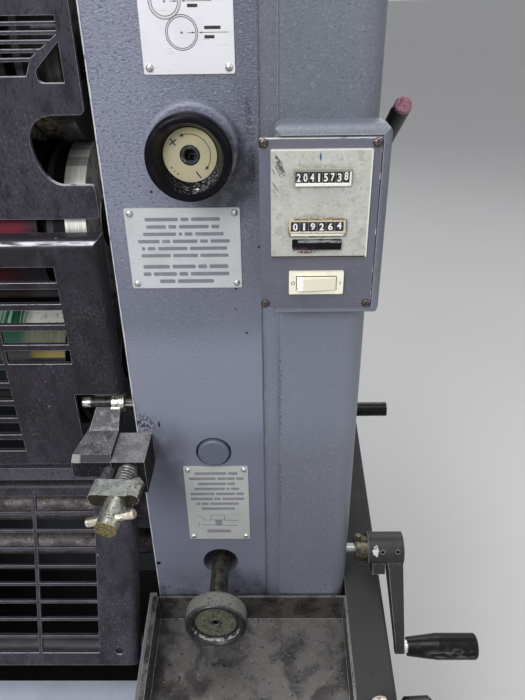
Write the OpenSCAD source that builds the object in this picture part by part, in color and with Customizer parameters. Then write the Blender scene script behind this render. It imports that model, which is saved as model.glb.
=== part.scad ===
// Printing unit of a small sheet-fed offset press, with its delivery end.
// X runs across the machine to the operator's side, Y runs from the delivery end to the feed end,
// Z is up. The origin lies on the floor, at the centre of the four anchor bolts.
// The front faces of the two columns stand at Y = 0.

/* [Columns] */
// Clear distance between the inner faces of the two columns
inner_w = 600; // [560:5:680]
// Width of the cast part of a column
casting_w = 140; // [120:1:170]
// Width of the sheet cover outside the casting
cover_w = 103.6; // [95:0.1:130]
// Depth of a column from front to back
column_d = 560; // [480:5:640]
// Height of the column tops above the floor
column_top = 1490; // [1450:5:1600]
// Radius of the rounded outer front edge of a cover
cover_round = 22; // [8:1:40]
// Width of the flat strip between the seam and the raised panel of a cover
strip_w = 16; // [10:1:24]
// Rise of the raised panel of a cover
cover_rise = 4; // [2:0.5:6]
// Seam between the casting and its cover
seam = 0.3; // [0.2:0.1:1]

/* [Plinth] */
// Height of the plinth
plinth_h = 120; // [90:5:160]
// Distance of the plinth's side faces in from the cover faces
plinth_toe = 30; // [10:5:60]
// Half the length of the plinth
plinth_half_l = 575; // [540:5:640]
// Distance between the anchor bolts across the machine
anchor_x = 840; // [700:10:900]
// Distance of the anchor bolts beyond the ends of the plinth
anchor_out = 30; // [25:1:50]
// Diameter of an anchor bolt hole
anchor_d = 18; // [14:1:24]
// Width of an anchor lug
lug_w = 90; // [60:5:120]
// Thickness of an anchor lug
lug_t = 25; // [15:1:35]

/* [Delivery end] */
// Length of the delivery end in front of the columns
delivery_l = 585; // [520:5:620]
// Height of the sloping side tops at the column faces
slope_z = 703; // [660:1:740]
// Fall of the side tops towards the delivery end, in degrees
slope_a = 9.4; // [4:0.2:14]
// Thickness of the outer side wall
skirt_t = 47.2; // [30:0.2:70]
// Height of the outer side wall's lower edge above the floor
skirt_z = 60; // [40:5:90]
// Width of the tool tray
tray_w = 246; // [200:1:248]
// Length of the tool tray along the slope
tray_l = 240; // [150:5:300]
// Depth of the tool tray
tray_h = 45; // [30:1:70]
// Sheet thickness of the tool tray
tray_t = 2; // [1.5:0.5:4]
// Height of the pile board's top above the floor
board_z = 585; // [400:5:600]
// Thickness of the pile board
board_t = 22; // [15:1:40]

/* [Cylinders] */
// Distance between the axes of neighbouring cylinders
cylinder_pitch = 175; // [172:0.5:178]
// Height of the blanket cylinder's axis
blanket_z = 1165; // [1160:1:1170]
// Distance of the bearer rings' front lines behind the column faces
cylinder_front = 41.5; // [40:0.5:50]
// Outer face of a bearer ring, from the middle of the machine
bearer_x = 267.5; // [250:0.5:272]
// Width of a bearer ring
bearer_w = 21; // [15:1:30]
// Width of the groove between a cylinder's body and its shoulder
groove_w = 8; // [5:1:14]
// Width of the shoulder beside a bearer ring
shoulder_w = 20; // [10:1:24]
// Diameter of a cylinder journal
journal_d = 60; // [40:2:80]
// Running gap between two bearer rings
bearer_gap = 0.3; // [0.3:0.1:0.6]

/* [Guards] */
// Front face of the upper guard behind the column faces
upper_guard_y = 30; // [26:1:34]
// Front face of the blanket guard behind the column faces
blanket_guard_y = 10; // [6:1:14]
// Wall thickness of the guards
guard_t = 5; // [3:0.5:7]
// Side clearance between a cylinder guard and a column
guard_side = 14; // [10:0.5:18]
// Angle of the delivery guard from the upright, in degrees
grid_a = 24.5; // [15:0.5:30]
// Pitch of the delivery guard's bars along its slope
grid_pitch = 23.15; // [20:0.05:25]
// Diameter of a guard hinge pin
hinge_pin_d = 10; // [6:1:14]

/* [Knobs] */
// Diameter of a hand knob
knob_d = 71; // [60:1:80]
// Thickness of a pressure knob
knob_t = 24; // [16:1:32]
// Height of the pressure knobs' axes
pressure_z = 1272; // [1250:1:1290]
// Distance of the knob axes outward from the inner column face
knob_in = 84; // [70:1:100]
// Diameter of the cast boss behind a pressure knob
boss_d = 80; // [72:1:92]
// Projection of the cast boss
boss_t = 20; // [8:1:30]
// Height of the numbering knobs' axes
numbering_z = 760; // [750:1:775]
// Projection of the numbering knobs' front faces
numbering_out = 95; // [80:1:120]
// Diameter of the numbering knob shafts
numbering_shaft_d = 22; // [14:1:24]

/* [Counter panel] */
// Width of the counter panel
panel_w = 100.4; // [90:0.2:101]
// Height of the counter panel
panel_h = 152; // [140:1:180]
// Height of the counter panel's middle
panel_z = 1209; // [1190:1:1230]
// Projection of the counter panel
panel_out = 30; // [18:1:45]

/* [Crank] */
// Height of the crank axis
crank_z = 761; // [750:1:790]
// Distance of the crank axis behind the column faces
crank_y = 20; // [10:1:60]
// Length of the crank arm between its axes
crank_l = 126; // [90:1:160]
// Angle of the arm from the upright, towards the delivery end
crank_a = 31; // [0:1:60]

/* [Hidden] */
$fn = 48;
far = 1;
inner_x = inner_w / 2;
seam_x = inner_x + casting_w;
cover_x = seam_x + seam;
outer_x = cover_x + cover_w;
knob_x = inner_x + knob_in;
run_gap = 0.05;
seat_gap = 0.3;

// Plain box between two corners
module block(low, high) {
  translate(low)
    cube([high[0] - low[0], high[1] - low[1], high[2] - low[2]]);
}

// Rectangle between two corners with round corners
module round_rect(x0, y0, x1, y1, r) {
  translate([x0 + r, y0])
    square([x1 - x0 - 2 * r, y1 - y0]);
  translate([x0, y0 + r])
    square([x1 - x0, y1 - y0 - 2 * r]);
  for (x = [x0 + r, x1 - r], y = [y0 + r, y1 - r])
    translate([x, y])
      circle(r);
}

// Half outline of a turned piece: a plain disc with a rounded front edge
module rim_section(r, t, round) {
  square([r - round, t]);
  square([r, t - round]);
  translate([r - round, t - round])
    circle(round);
}

// Shape drawn on X and Z, as seen from the delivery end, carried from y0 back to y1
module facing(y0, y1) {
  translate([0, y1, 0])
    rotate([90, 0, 0])
      linear_extrude(y1 - y0)
        children();
}

// Outline drawn on Y and Z, carried along X from x0 to x1
module across(x0, x1) {
  translate([x0, 0, 0])
    rotate([90, 0, 90])
      linear_extrude(x1 - x0)
        children();
}

// Turned shape whose axis runs towards the delivery end, from its back face at y
module turned(x, y, z) {
  translate([x, y, z])
    rotate([90, 0, 0])
      rotate_extrude()
        children();
}

// Round bar along X
module bar_x(x0, x1, y, z, d) {
  translate([x0, y, z])
    rotate([0, 90, 0])
      cylinder(h = x1 - x0, d = d);
}

// Round bar along Y
module bar_y(x, y0, y1, z, d) {
  translate([x, y1, z])
    rotate([90, 0, 0])
      cylinder(h = y1 - y0, d = d);
}

module mirrored() {
  mirror([1, 0, 0])
    children();
}

module both_sides() {
  children();
  mirrored()
    children();
}

// Height of the sloping side top at a distance behind the column faces
function side_top(y) = slope_z + y * tan(slope_a);

// Places its children on the slope: their Z = 0 is the side top, their Y runs up the slope
module on_slope() {
  translate([0, 0, slope_z])
    rotate([slope_a, 0, 0])
      children();
}

anchor_y = 2 * (plinth_half_l + anchor_out);

// Plinth with its anchor lugs
module base_plinth() {
  plinth_x = outer_x - plinth_toe;
  lug_half_l = anchor_y / 2 + lug_w / 4;
  color("#4b4e58")
    difference() {
      union() {
        block([-plinth_x, -plinth_half_l, 0], [plinth_x, plinth_half_l, plinth_h]);
        for (x = [-anchor_x / 2, anchor_x / 2])
          block([x - lug_w / 2, -lug_half_l, 0], [x + lug_w / 2, lug_half_l, lug_t]);
      }
      for (x = [-anchor_x / 2, anchor_x / 2], y = [-anchor_y / 2, anchor_y / 2])
        translate([x, y, -far])
          cylinder(h = lug_t + 2 * far, d = anchor_d);
    }
}

cylinder_zs = [blanket_z + cylinder_pitch, blanket_z, blanket_z - cylinder_pitch];
cylinder_y = cylinder_front + cylinder_pitch / 2;
journal_in = 60;
casting_edge = 3;
boss_round = 4;
knob_shaft_d = 16;
knob_shaft_in = 40;
numbering_hole_d = 44;
numbering_hole_in = 30;
numbering_shaft_in = 70;
plug_rise = 177;
plug_z = numbering_z + plug_rise;
plug_d = 35;
plug_ring = 2.5;
plug_in = 6;
plug_out = 4;
plug_round = 2.5;
pin_in = 6;
pin_end = 1;
upper_hinge_z = 1452;
upper_hinge_y = upper_guard_y + guard_t / 2;
grid_hinge_y = 33.8;
grid_hinge_z = 855;
clamp_y = 25;
clamp_z = 989;
clamp_shaft_d = 12;
roller_ends = 20;
numbering_roller_y = 76;
numbering_roller_z = 788;
numbering_roller_d = 44;
delivery_roller_y = 72;
delivery_roller_z = 720;
delivery_roller_d = 34;
lower_roller_y = 24;
lower_roller_z = 561;
lower_roller_d = 30;

// Bearing hole in the inner face of a casting
module inner_hole(y, z, d, depth) {
  bar_x(inner_x - far, inner_x + depth, y, z, d + 2 * run_gap);
}

// Casting of a column: a plain deep body with its bearings, boss and holes
module column() {
  difference() {
    union() {
      translate([0, 0, plinth_h])
        linear_extrude(column_top - plinth_h)
          polygon([
            [inner_x, casting_edge],
            [inner_x + casting_edge, 0],
            [seam_x, 0],
            [seam_x, column_d],
            [inner_x, column_d]
          ]);
      turned(knob_x, casting_edge, pressure_z)
        rim_section(boss_d / 2, boss_t + casting_edge, boss_round);
    }
    for (z = cylinder_zs)
      inner_hole(cylinder_y, z, journal_d, journal_in);
    bar_y(knob_x, -boss_t - far, knob_shaft_in, pressure_z, knob_shaft_d + 2 * run_gap);
    bar_y(knob_x, -far, numbering_hole_in, numbering_z, numbering_hole_d);
    bar_y(knob_x, 0, numbering_shaft_in, numbering_z, numbering_shaft_d + 2 * run_gap);
    bar_y(knob_x, -far, plug_in, plug_z, plug_d + 2 * plug_ring);
    inner_hole(upper_hinge_y, upper_hinge_z, hinge_pin_d, pin_in);
    inner_hole(grid_hinge_y, grid_hinge_z, hinge_pin_d, pin_in);
    inner_hole(clamp_y, clamp_z, clamp_shaft_d, pin_in);
    inner_hole(numbering_roller_y, numbering_roller_z, roller_ends, pin_in);
    inner_hole(delivery_roller_y, delivery_roller_z, roller_ends, pin_in);
    inner_hole(lower_roller_y, lower_roller_z, roller_ends, pin_in);
  }
}

module column_right() {
  color("#6a6e7a")
    column();
}

module column_left() {
  color("#6a6e7a")
    mirrored()
      column();
}

crank_shaft_d = 14;
lever_pin_d = 16;
side_lever_y = 275;
side_lever_z = 905;
release_y = 350;
release_z = 1192;
stub_in = 30;
raised_gap = 3;
raised_corner = 24;

// Sheet cover outside the casting: a flat strip at the seam, then a raised panel with soft edges
module cover() {
  raised_x = cover_x + strip_w;
  raised_z = slope_z + raised_gap;
  translate([0, 0, plinth_h])
    linear_extrude(column_top - plinth_h) {
      translate([cover_x, cover_round])
        square([cover_w, column_d - cover_round]);
      translate([cover_x, 0])
        square([cover_w - cover_round, column_d]);
      translate([outer_x - cover_round, cover_round])
        circle(cover_round);
    }
  intersection() {
    translate([0, 0, raised_z])
      linear_extrude(column_top - raised_z) {
        translate([raised_x + cover_rise, 0])
          circle(cover_rise);
        translate([raised_x + cover_rise, -cover_rise])
          square([outer_x - cover_round - raised_x - cover_rise, cover_rise + cover_round]);
        translate([outer_x - cover_round, cover_round - cover_rise])
          circle(cover_round);
      }
    facing(-cover_rise - far, 2 * cover_round)
      round_rect(cover_x, raised_z, outer_x, column_top + 2 * raised_corner, raised_corner);
  }
}

module cover_right() {
  color("#64686f")
    difference() {
      cover();
      bar_x(outer_x - stub_in, outer_x + far, crank_y, crank_z, crank_shaft_d + 2 * run_gap);
      bar_x(outer_x - stub_in, outer_x + far, side_lever_y, side_lever_z, lever_pin_d + 2 * run_gap);
      bar_x(outer_x - stub_in, outer_x + far, release_y, release_z, lever_pin_d + 2 * run_gap);
    }
}

module cover_left() {
  color("#64686f")
    mirrored()
      cover();
}

side_gap = 0.3;
skirt_x = outer_x + side_gap;
skirt_out = skirt_x + skirt_t;
skirt_round = 5;
lever_x = 568.5;
lever_s = -152;

// Outer side wall with its sloping top, rounded along its outer edge
module side_wall() {
  reach = 2 * (delivery_l + column_d);
  intersection() {
    across(skirt_x, skirt_out)
      polygon([
        [-delivery_l, skirt_z],
        [column_d, skirt_z],
        [column_d, side_top(column_d)],
        [-delivery_l, side_top(-delivery_l)]
      ]);
    on_slope()
      union() {
        block([skirt_x, -reach, -reach], [skirt_out - skirt_round, reach, 0]);
        block([skirt_x, -reach, -reach], [skirt_out, reach, -skirt_round]);
        bar_y(skirt_out - skirt_round, -reach, reach, -skirt_round, 2 * skirt_round);
      }
  }
}

module side_wall_right() {
  color("#54565c")
    difference() {
      side_wall();
      on_slope()
        translate([lever_x, lever_s, -stub_in])
          cylinder(h = stub_in + far, d = lever_pin_d + 2 * run_gap);
    }
}

module side_wall_left() {
  color("#54565c")
    mirrored()
      side_wall();
}

tray_gap = 0.3;
column_gap = 0.3;
tray_rim = 5;
tray_x1 = outer_x - tray_gap;
tray_x0 = tray_x1 - tray_w;
box_x0 = tray_x0 - tray_rim - 2 * tray_t;
tray_y1 = -6;
tray_y0 = tray_y1 - tray_l;

// Housing beside the pile, in front of a column
module delivery_box() {
  across(box_x0, outer_x)
    polygon([
      [-delivery_l, plinth_h],
      [-column_gap, plinth_h],
      [-column_gap, side_top(-column_gap) - tray_t],
      [-delivery_l, side_top(-delivery_l) - tray_t]
    ]);
}

// Hollow with upright ends whose top and bottom follow the slope
module tray_space(x0, x1, y0, y1, depth, over) {
  across(x0, x1)
    polygon([
      [y0, side_top(y0) + over],
      [y1, side_top(y1) + over],
      [y1, side_top(y1) - depth],
      [y0, side_top(y0) - depth]
    ]);
}

module delivery_box_right() {
  color("#565962")
    difference() {
      delivery_box();
      tray_space(tray_x0 - tray_gap, outer_x + far, tray_y0 - tray_gap, far, tray_h + tray_gap, far);
    }
}

module delivery_box_left() {
  color("#565962")
    mirrored()
      delivery_box();
}

// Tool tray of folded sheet with a flat rim, let into the side top in front of the right column
module tool_tray() {
  color("#3d3c3b")
    difference() {
      union() {
        tray_space(tray_x0, tray_x1, tray_y0, tray_y1, tray_h, 0);
        tray_space(tray_x0 - tray_rim, tray_x1, tray_y0 - tray_rim, tray_y1, tray_t, 0);
      }
      tray_space(tray_x0 + tray_t, tray_x1 - tray_t, tray_y0 + tray_t, tray_y1 - tray_t, tray_h - tray_t, far);
    }
}

beam_h = 260;
beam_t = 60;

// Low crossbeam that joins the two sides at the delivery end
module delivery_crossbeam() {
  color("#54565c")
    block([-box_x0 + side_gap, -delivery_l, plinth_h], [box_x0 - side_gap, -delivery_l + beam_t, plinth_h + beam_h]);
}

board_side = 12;
board_back = 48.5;
board_front = 90;
post_w = 40;

// Pile board on its two lifting posts
module pile_board() {
  board_x = box_x0 - board_side;
  color("#8a93a3") {
    block([-board_x, -delivery_l + board_front, board_z - board_t], [board_x, -board_back, board_z]);
    for (x = [-board_x + post_w, board_x - 2 * post_w])
      block([x, -board_back - 2 * post_w, plinth_h], [x + post_w, -board_back - post_w, board_z - board_t]);
  }
}

housing_y = 235;
housing_z = 1040;
housing_back = 30;
hood_h = 70;
hood_in = 20;
hood_back = 10;
hood_round = 30;

// Closed housing of the inking rollers behind the plate cylinder, with its round-edged hood
module ink_unit_housing() {
  color("#5d616b") {
    block([-inner_x + side_gap, housing_y, housing_z], [inner_x - side_gap, column_d - housing_back, column_top]);
    across(-outer_x + hood_in, outer_x - hood_in) {
      translate([housing_y + hood_round, column_top])
        square([column_d - hood_back - housing_y - hood_round, hood_h]);
      translate([housing_y, column_top])
        square([column_d - hood_back - housing_y, hood_h - hood_round]);
      translate([housing_y + hood_round, column_top + hood_h - hood_round])
        circle(hood_round);
    }
  }
}

feed_z = 990;
feed_slot_h = 40;
feed_slot_in = 40;
rear_in = 6;
rear_t = 20;
feed_l = 370;
feed_t = 18;
feed_out = 60;
feed_side = 50;

// Closed panel between the columns at the feed end, with the slot where sheets enter
module rear_panel() {
  color("#64686f")
    difference() {
      block(
        [-inner_x + side_gap, column_d - rear_in - rear_t, plinth_h],
        [inner_x - side_gap, column_d - rear_in, housing_z - side_gap]
      );
      block(
        [-inner_x + feed_slot_in, column_d - rear_in - rear_t - far, feed_z - feed_slot_h / 2 - seat_gap],
        [inner_x - feed_slot_in, column_d + far, feed_z + feed_slot_h / 2]
      );
    }
}

// Board that leads the sheets in
module feed_board() {
  color("#8b8f96")
    block(
      [-inner_x + feed_side, column_d + feed_out - feed_l, feed_z - feed_slot_h / 2],
      [inner_x - feed_side, column_d + feed_out, feed_z - feed_slot_h / 2 + feed_t]
    );
}

rail_z0 = 884;
rail_h = 18;
rail_z1 = rail_z0 + rail_h;
rail_y0 = 14;
rail_t = 16;
knuckle_d = 10;
knuckle_y = blanket_guard_y - 6;
knuckle_rise = 6;
knuckle_z = rail_z1 + knuckle_rise;
knuckle_x = 60;
knuckle_w = 30;
knuckle_pin_d = 6;
ear_w = 6;
ear_gap = 0.5;
ear_foot = 8;
ear_toe = 3;

// Crossbar under the blanket guard, with the ears and pins of its hinges
module guard_rail() {
  ear_x = (knuckle_w + ear_w) / 2 + ear_gap;
  color("#3f3e47") {
    block([-inner_x, rail_y0, rail_z0], [inner_x, rail_y0 + rail_t, rail_z1]);
    for (side = [-1, 1], end = [-1, 1])
      across(side * knuckle_x + end * ear_x - ear_w / 2, side * knuckle_x + end * ear_x + ear_w / 2) {
        translate([knuckle_y, knuckle_z])
          circle(d = knuckle_d);
        polygon([
          [knuckle_y - knuckle_d / 2, knuckle_z],
          [knuckle_y + knuckle_d / 2, knuckle_z],
          [knuckle_y + knuckle_d / 2, rail_z1],
          [rail_y0 + far, rail_z1],
          [rail_y0 + far, rail_z1 - ear_foot],
          [knuckle_y - knuckle_d / 2, rail_z1 - ear_toe]
        ]);
      }
    for (side = [-1, 1])
      bar_x(side * knuckle_x - ear_x, side * knuckle_x + ear_x, knuckle_y, knuckle_z, knuckle_pin_d);
  }
}

pin_root = 2;

// Hinge pins of a guard on its two edges
module guard_pins(half, y, z) {
  both_sides()
    bar_x(half - pin_root, inner_x + pin_in - pin_end, y, z, hinge_pin_d);
}

upper_z0 = 1199;
upper_z1 = 1462;
upper_round = 8;
d_cut_x = 233;
d_cut_z0 = 1231.5;
d_cut_z1 = 1294;
d_cut_r = 24;
d_cut_top = 22;
arm_round = 5;
grille_z0 = 1326;
grille_z1 = 1372.5;
blade_z = 1340.4;
blade_h = 2.8;
blade_pitch = 6.9;
blades = 5;
upright_x = 100;
upright_w = 6;
post_x = 272.8;
strut_foot_x = 240.5;
strut_knee_x = 247;
strut_knee_z = 1340.5;
strut_head_z = 1359;
window_x0 = 249.7;
window_z0 = 1320.4;
window_side_z = 1331;
window_top_z = 1353;
window_round = 5.5;

// Quarter of an ellipse as points, from angle a0 to a1 about its centre
function ellipse(cx, cz, rx, rz, a0, a1) =
  [for (k = [0:10]) [cx + rx * cos(a0 + (a1 - a0) * k / 10), cz + rz * sin(a0 + (a1 - a0) * k / 10)]];

// Open-ended round cutout in the side of the upper guard
module d_cut(half) {
  low_r = d_cut_z1 - d_cut_z0 - d_cut_top;
  polygon(concat(
    ellipse(d_cut_x + d_cut_r, d_cut_z1 - d_cut_top, d_cut_r, d_cut_top, 90, 180),
    ellipse(d_cut_x + d_cut_r, d_cut_z1 - d_cut_top, d_cut_r, low_r, 180, 270),
    [[half + far, d_cut_z0], [half + far, d_cut_z1]]
  ));
}

// Area of the grille, up to the post and the slanting strut at its end
module grille_area() {
  for (side = [0, 1])
    mirror([side, 0])
      polygon([
        [-far, grille_z0], [strut_foot_x, grille_z0], [strut_knee_x, strut_knee_z],
        [post_x, strut_head_z], [post_x, grille_z1], [-far, grille_z1]
      ]);
}

// Rounded triangular window between the strut and the post
module corner_window() {
  difference() {
    polygon([
      [window_x0, window_z0], [post_x, window_z0],
      [post_x, window_top_z], [window_x0, window_side_z]
    ]);
    difference() {
      translate([window_x0 - far, window_z0 - far])
        square(window_round + far);
      translate([window_x0 + window_round, window_z0 + window_round])
        circle(window_round);
    }
  }
}

// Upper guard: a plate with open-ended round cutouts, and a bladed grille with corner windows above them
module guard_upper() {
  half = inner_x - guard_side;
  color("#35333c") {
    facing(upper_guard_y, upper_guard_y + guard_t)
      difference() {
        union() {
          round_rect(-half, d_cut_z1, half, upper_z1, arm_round);
          round_rect(-half, upper_z0, half, d_cut_z0, arm_round);
          translate([-half + upper_round, upper_z0 + arm_round])
            square([2 * (half - upper_round), upper_z1 - upper_z0 - 2 * arm_round]);
        }
        for (side = [0, 1])
          mirror([side, 0]) {
            d_cut(half);
            corner_window();
          }
        difference() {
          grille_area();
          for (k = [0:blades - 1])
            translate([-half, blade_z - blade_h + k * blade_pitch])
              square([2 * half, blade_h]);
          for (x = [-2:2])
            translate([x * upright_x - upright_w / 2, grille_z0])
              square([upright_w, grille_z1 - grille_z0]);
        }
      }
    guard_pins(half, upper_hinge_y, upper_hinge_z);
  }
}

// Sheet guard seen as a full body: rounded along its top front edge and down both ends
module guard_body(half, y0, y1, z0, z1, round) {
  intersection() {
    across(-half, half) {
      translate([y0, z0])
        square([y1 - y0, z1 - z0 - round]);
      translate([y0 + round, z0])
        square([y1 - y0 - round, z1 - z0]);
      translate([y0 + round, z1 - round])
        circle(round);
    }
    translate([0, 0, z0])
      linear_extrude(z1 - z0) {
        translate([-half + round, y0])
          square([2 * (half - round), y1 - y0]);
        translate([-half, y0 + round])
          square([2 * half, y1 - y0 - round]);
        for (x = [-half + round, half - round])
          translate([x, y0 + round])
            circle(round);
      }
  }
}

// Sheet guard: the full body without its inside, open behind and below
module guard_shell(half, y0, y1, z0, z1, round) {
  difference() {
    guard_body(half, y0, y1, z0, z1, round);
    guard_body(half - guard_t, y0 + guard_t, y1 + round, z0 - round, z1 - guard_t, round - guard_t);
  }
}

blanket_guard_z0 = rail_z1 + 10;
blanket_guard_z1 = 1185;
blanket_guard_deep = 22;
guard_round = 9;
notch_x = 236;
notch_z = 1009;
slot_top = 1158;
slot_h = 16.5;
slot_pitch = 23.3;
slot_rows = 10;
short_rows = 5;
slot_middle = 4;
slot_w = 80;
slot_end_w = 68;
slot_upright = 4;

// Row of slots on one side of the middle; the outermost one only where the row is long
module slot_row(z, long) {
  for (c = [0, 1])
    translate([slot_middle + c * (slot_w + slot_upright), z])
      square([slot_w, slot_h]);
  if (long)
    translate([slot_middle + 2 * (slot_w + slot_upright), z])
      square([slot_end_w, slot_h]);
}

// Blanket guard: slotted sheet with rounded top and side returns, carried by two hinge barrels
module guard_blanket() {
  half = inner_x - guard_side;
  guard_back = blanket_guard_y + blanket_guard_deep;
  color("#33313a") {
    difference() {
      guard_shell(half, blanket_guard_y, guard_back, blanket_guard_z0, blanket_guard_z1, guard_round);
      both_sides()
        block([notch_x, blanket_guard_y - far, blanket_guard_z0 - far], [half + far, guard_back + far, notch_z]);
      facing(blanket_guard_y - far, blanket_guard_y + guard_t + far)
        for (side = [0, 1], k = [0:slot_rows - 1])
          mirror([side, 0])
            slot_row(slot_top - slot_h - k * slot_pitch, k < short_rows);
    }
    for (side = [-1, 1])
      difference() {
        union() {
          bar_x(side * knuckle_x - knuckle_w / 2, side * knuckle_x + knuckle_w / 2, knuckle_y, knuckle_z, knuckle_d);
          block(
            [side * knuckle_x - knuckle_w / 2, knuckle_y, knuckle_z],
            [side * knuckle_x + knuckle_w / 2, blanket_guard_y + guard_t, blanket_guard_z0 + far]
          );
        }
        bar_x(
          side * knuckle_x - knuckle_w, side * knuckle_x + knuckle_w,
          knuckle_y, knuckle_z, knuckle_pin_d + 2 * run_gap
        );
      }
  }
}

grid_half = inner_x - 22;
grid_edge = 47;
grid_top = 11;
grid_lip = 8;
grid_l = 232.5;
grid_deep = 20;
grid_bar = 3.2;
grid_bars = 9;
mullions = 6;
mullion_w = 4;
grid_hole_in = 23.5;
grid_hole_up = 19.5;
grid_hole_d = 11;

// Delivery guard: bars across, uprights and wide rounded side edges, hung from its top pins
module guard_delivery() {
  open_w = 2 * (grid_half - grid_edge);
  column_w = open_w / mullions;
  color("#3a3841") {
    translate([0, grid_hinge_y, grid_hinge_z])
      rotate([-grid_a, 0, 0])
        difference() {
          guard_shell(grid_half, -guard_t / 2, grid_deep - guard_t / 2, -grid_l, grid_lip, guard_round);
          facing(-guard_t / 2 - far, guard_t / 2 + far) {
            for (k = [0:grid_bars - 1], c = [0:mullions - 1])
              translate([-open_w / 2 + c * column_w + mullion_w / 2, -grid_top - (k + 1) * grid_pitch + grid_bar])
                square([column_w - mullion_w, grid_pitch - grid_bar]);
            for (side = [-1, 1])
              translate([side * (grid_half - grid_hole_in), -grid_l + grid_hole_up])
                circle(d = grid_hole_d);
          }
        }
    guard_pins(grid_half, grid_hinge_y, grid_hinge_z);
  }
}

body_undercut = 0.4;
groove_deep = 12;
shoulder_deep = 5;
journal_end = 1;
gap_w = 44;
gap_deep = 26;

// Cylinder with bearer rings and shoulders, two journals and the gap along its body, which rests at the back
module press_cylinder(z) {
  ring_d = cylinder_pitch - bearer_gap;
  body_d = ring_d - 2 * body_undercut;
  shoulder_x = bearer_x - bearer_w - shoulder_w;
  body_x = shoulder_x - groove_w;
  gap_x = body_x - groove_w;
  difference() {
    bar_x(-body_x, body_x, cylinder_y, z, body_d);
    block(
      [-gap_x, cylinder_y + body_d / 2 - gap_deep, z - gap_w / 2],
      [gap_x, cylinder_y + body_d / 2 + far, z + gap_w / 2]
    );
  }
  bar_x(-bearer_x + bearer_w / 2, bearer_x - bearer_w / 2, cylinder_y, z, ring_d - 2 * groove_deep - 2 * gap_deep);
  both_sides() {
    bar_x(body_x - far, shoulder_x + far, cylinder_y, z, ring_d - 2 * groove_deep);
    bar_x(shoulder_x, bearer_x - bearer_w + far, cylinder_y, z, ring_d - 2 * shoulder_deep);
    bar_x(bearer_x - bearer_w, bearer_x, cylinder_y, z, ring_d);
  }
  bar_x(-inner_x - journal_in + journal_end, inner_x + journal_in - journal_end, cylinder_y, z, journal_d);
}

module plate_cylinder() {
  color("#9a9d98")
    press_cylinder(cylinder_zs[0]);
}

module blanket_cylinder() {
  color("#5a2b30")
    press_cylinder(cylinder_zs[1]);
}

module impression_cylinder() {
  color("#7f9a86")
    press_cylinder(cylinder_zs[2]);
}

roller_side = 14;

// Roller with thinner ends that turn in the columns
module roller(y, z, d) {
  bar_x(-inner_x + roller_side, inner_x - roller_side, y, z, d);
  bar_x(-inner_x - pin_in + pin_end, inner_x + pin_in - pin_end, y, z, roller_ends);
}

module numbering_shaft() {
  color("#8f7f66")
    roller(numbering_roller_y, numbering_roller_z, numbering_roller_d);
}

module delivery_roller() {
  color("#a39684")
    roller(delivery_roller_y, delivery_roller_z, delivery_roller_d);
}

module lower_roller() {
  color("#8c8276")
    roller(lower_roller_y, lower_roller_z, lower_roller_d);
}

clamp_x0 = 241;
clamp_split = 282;
clamp_x1 = 317;
clamp_seam = 0.2;
clamp_front = -50;
clamp_back = -0.3;
clamp_top = 965;
clamp_low = 923;
clamp_rise = 6;
clamp_nose = 945;
clamp_y1 = 4.4;
clamp_slant = 8.3;
neck_x = 264;
neck_root = 8;
boss_x = 272.7;
boss_w = 13.3;
boss_bar_d = 22;
shaft_out = 2;

// Short shafts beside the columns that carry the clamps
module clamp_shaft() {
  color("#b8b8b4")
    both_sides()
      bar_x(clamp_x0 - shaft_out, inner_x + pin_in - pin_end, clamp_y, clamp_z, clamp_shaft_d);
}

// Bearing blocks of the clamps: a block with one slanting side, and a neck that ends in a bored boss
module clamp_block() {
  color("#77746c")
    both_sides()
      difference() {
        union() {
          intersection() {
            across(clamp_x0, clamp_split - clamp_seam)
              polygon([
                [clamp_front, clamp_nose],
                [clamp_y1, clamp_nose],
                [clamp_y1, clamp_top + clamp_rise],
                [clamp_front + clamp_rise, clamp_top + clamp_rise],
                [clamp_front, clamp_top]
              ]);
            translate([0, 0, clamp_nose])
              linear_extrude(clamp_top + clamp_rise - clamp_nose)
                polygon([
                  [clamp_x0, clamp_front],
                  [clamp_split, clamp_front],
                  [clamp_split, clamp_y1],
                  [clamp_x0 + clamp_slant, clamp_y1]
                ]);
          }
          intersection() {
            across(clamp_x0, clamp_split - clamp_seam)
              polygon([
                [clamp_y1 - neck_root, clamp_nose + clamp_rise],
                [clamp_y1 + neck_root, clamp_nose + clamp_rise],
                [clamp_y + boss_bar_d / 2, clamp_z],
                [clamp_y - boss_bar_d / 2, clamp_z],
                [clamp_y1 - neck_root, clamp_top + clamp_rise]
              ]);
            translate([0, 0, clamp_nose])
              linear_extrude(clamp_z + boss_bar_d - clamp_nose)
                polygon([
                  [clamp_x0 + clamp_slant, clamp_y1 - neck_root - far],
                  [clamp_split, clamp_y1 - neck_root - far],
                  [clamp_split, clamp_y + boss_bar_d / 2 + far],
                  [neck_x, clamp_y + boss_bar_d / 2 + far]
                ]);
          }
          bar_x(boss_x, boss_x + boss_w, clamp_y, clamp_z, boss_bar_d);
        }
        bar_x(clamp_x0 - far, clamp_split + boss_w, clamp_y, clamp_z, clamp_shaft_d + 2 * run_gap);
      }
}

screw_x = 299.6;
screw_z = 954;
screw_tilt = 9;
screw_turn = -8;
screw_d = 22;
screw_thin_d = 12;
screw_in = 30;
screw_end = 74;
yoke_front = 41;
yoke_t = 20;
yoke_low = 8;
yoke_left = 29.6;
yoke_right = 17.7;
yoke_roll = 5.5;
yoke_round = 7;
yoke_ball_d = 15;
spacer_x = -20;
spacer_d = 13;
washer_d = 19;
bar_l = 58;
bar_d = 10;
bar_soft = 1.5;
bar_shift = 0.5;
bar_tilt = 24;
bar_at = 60;

// Places its children along the clamp screw: their Y runs back up its axis from the clamp's front face
module on_screw() {
  translate([screw_x, clamp_front, screw_z])
    rotate([screw_tilt, 0, screw_turn])
      children();
}

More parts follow.
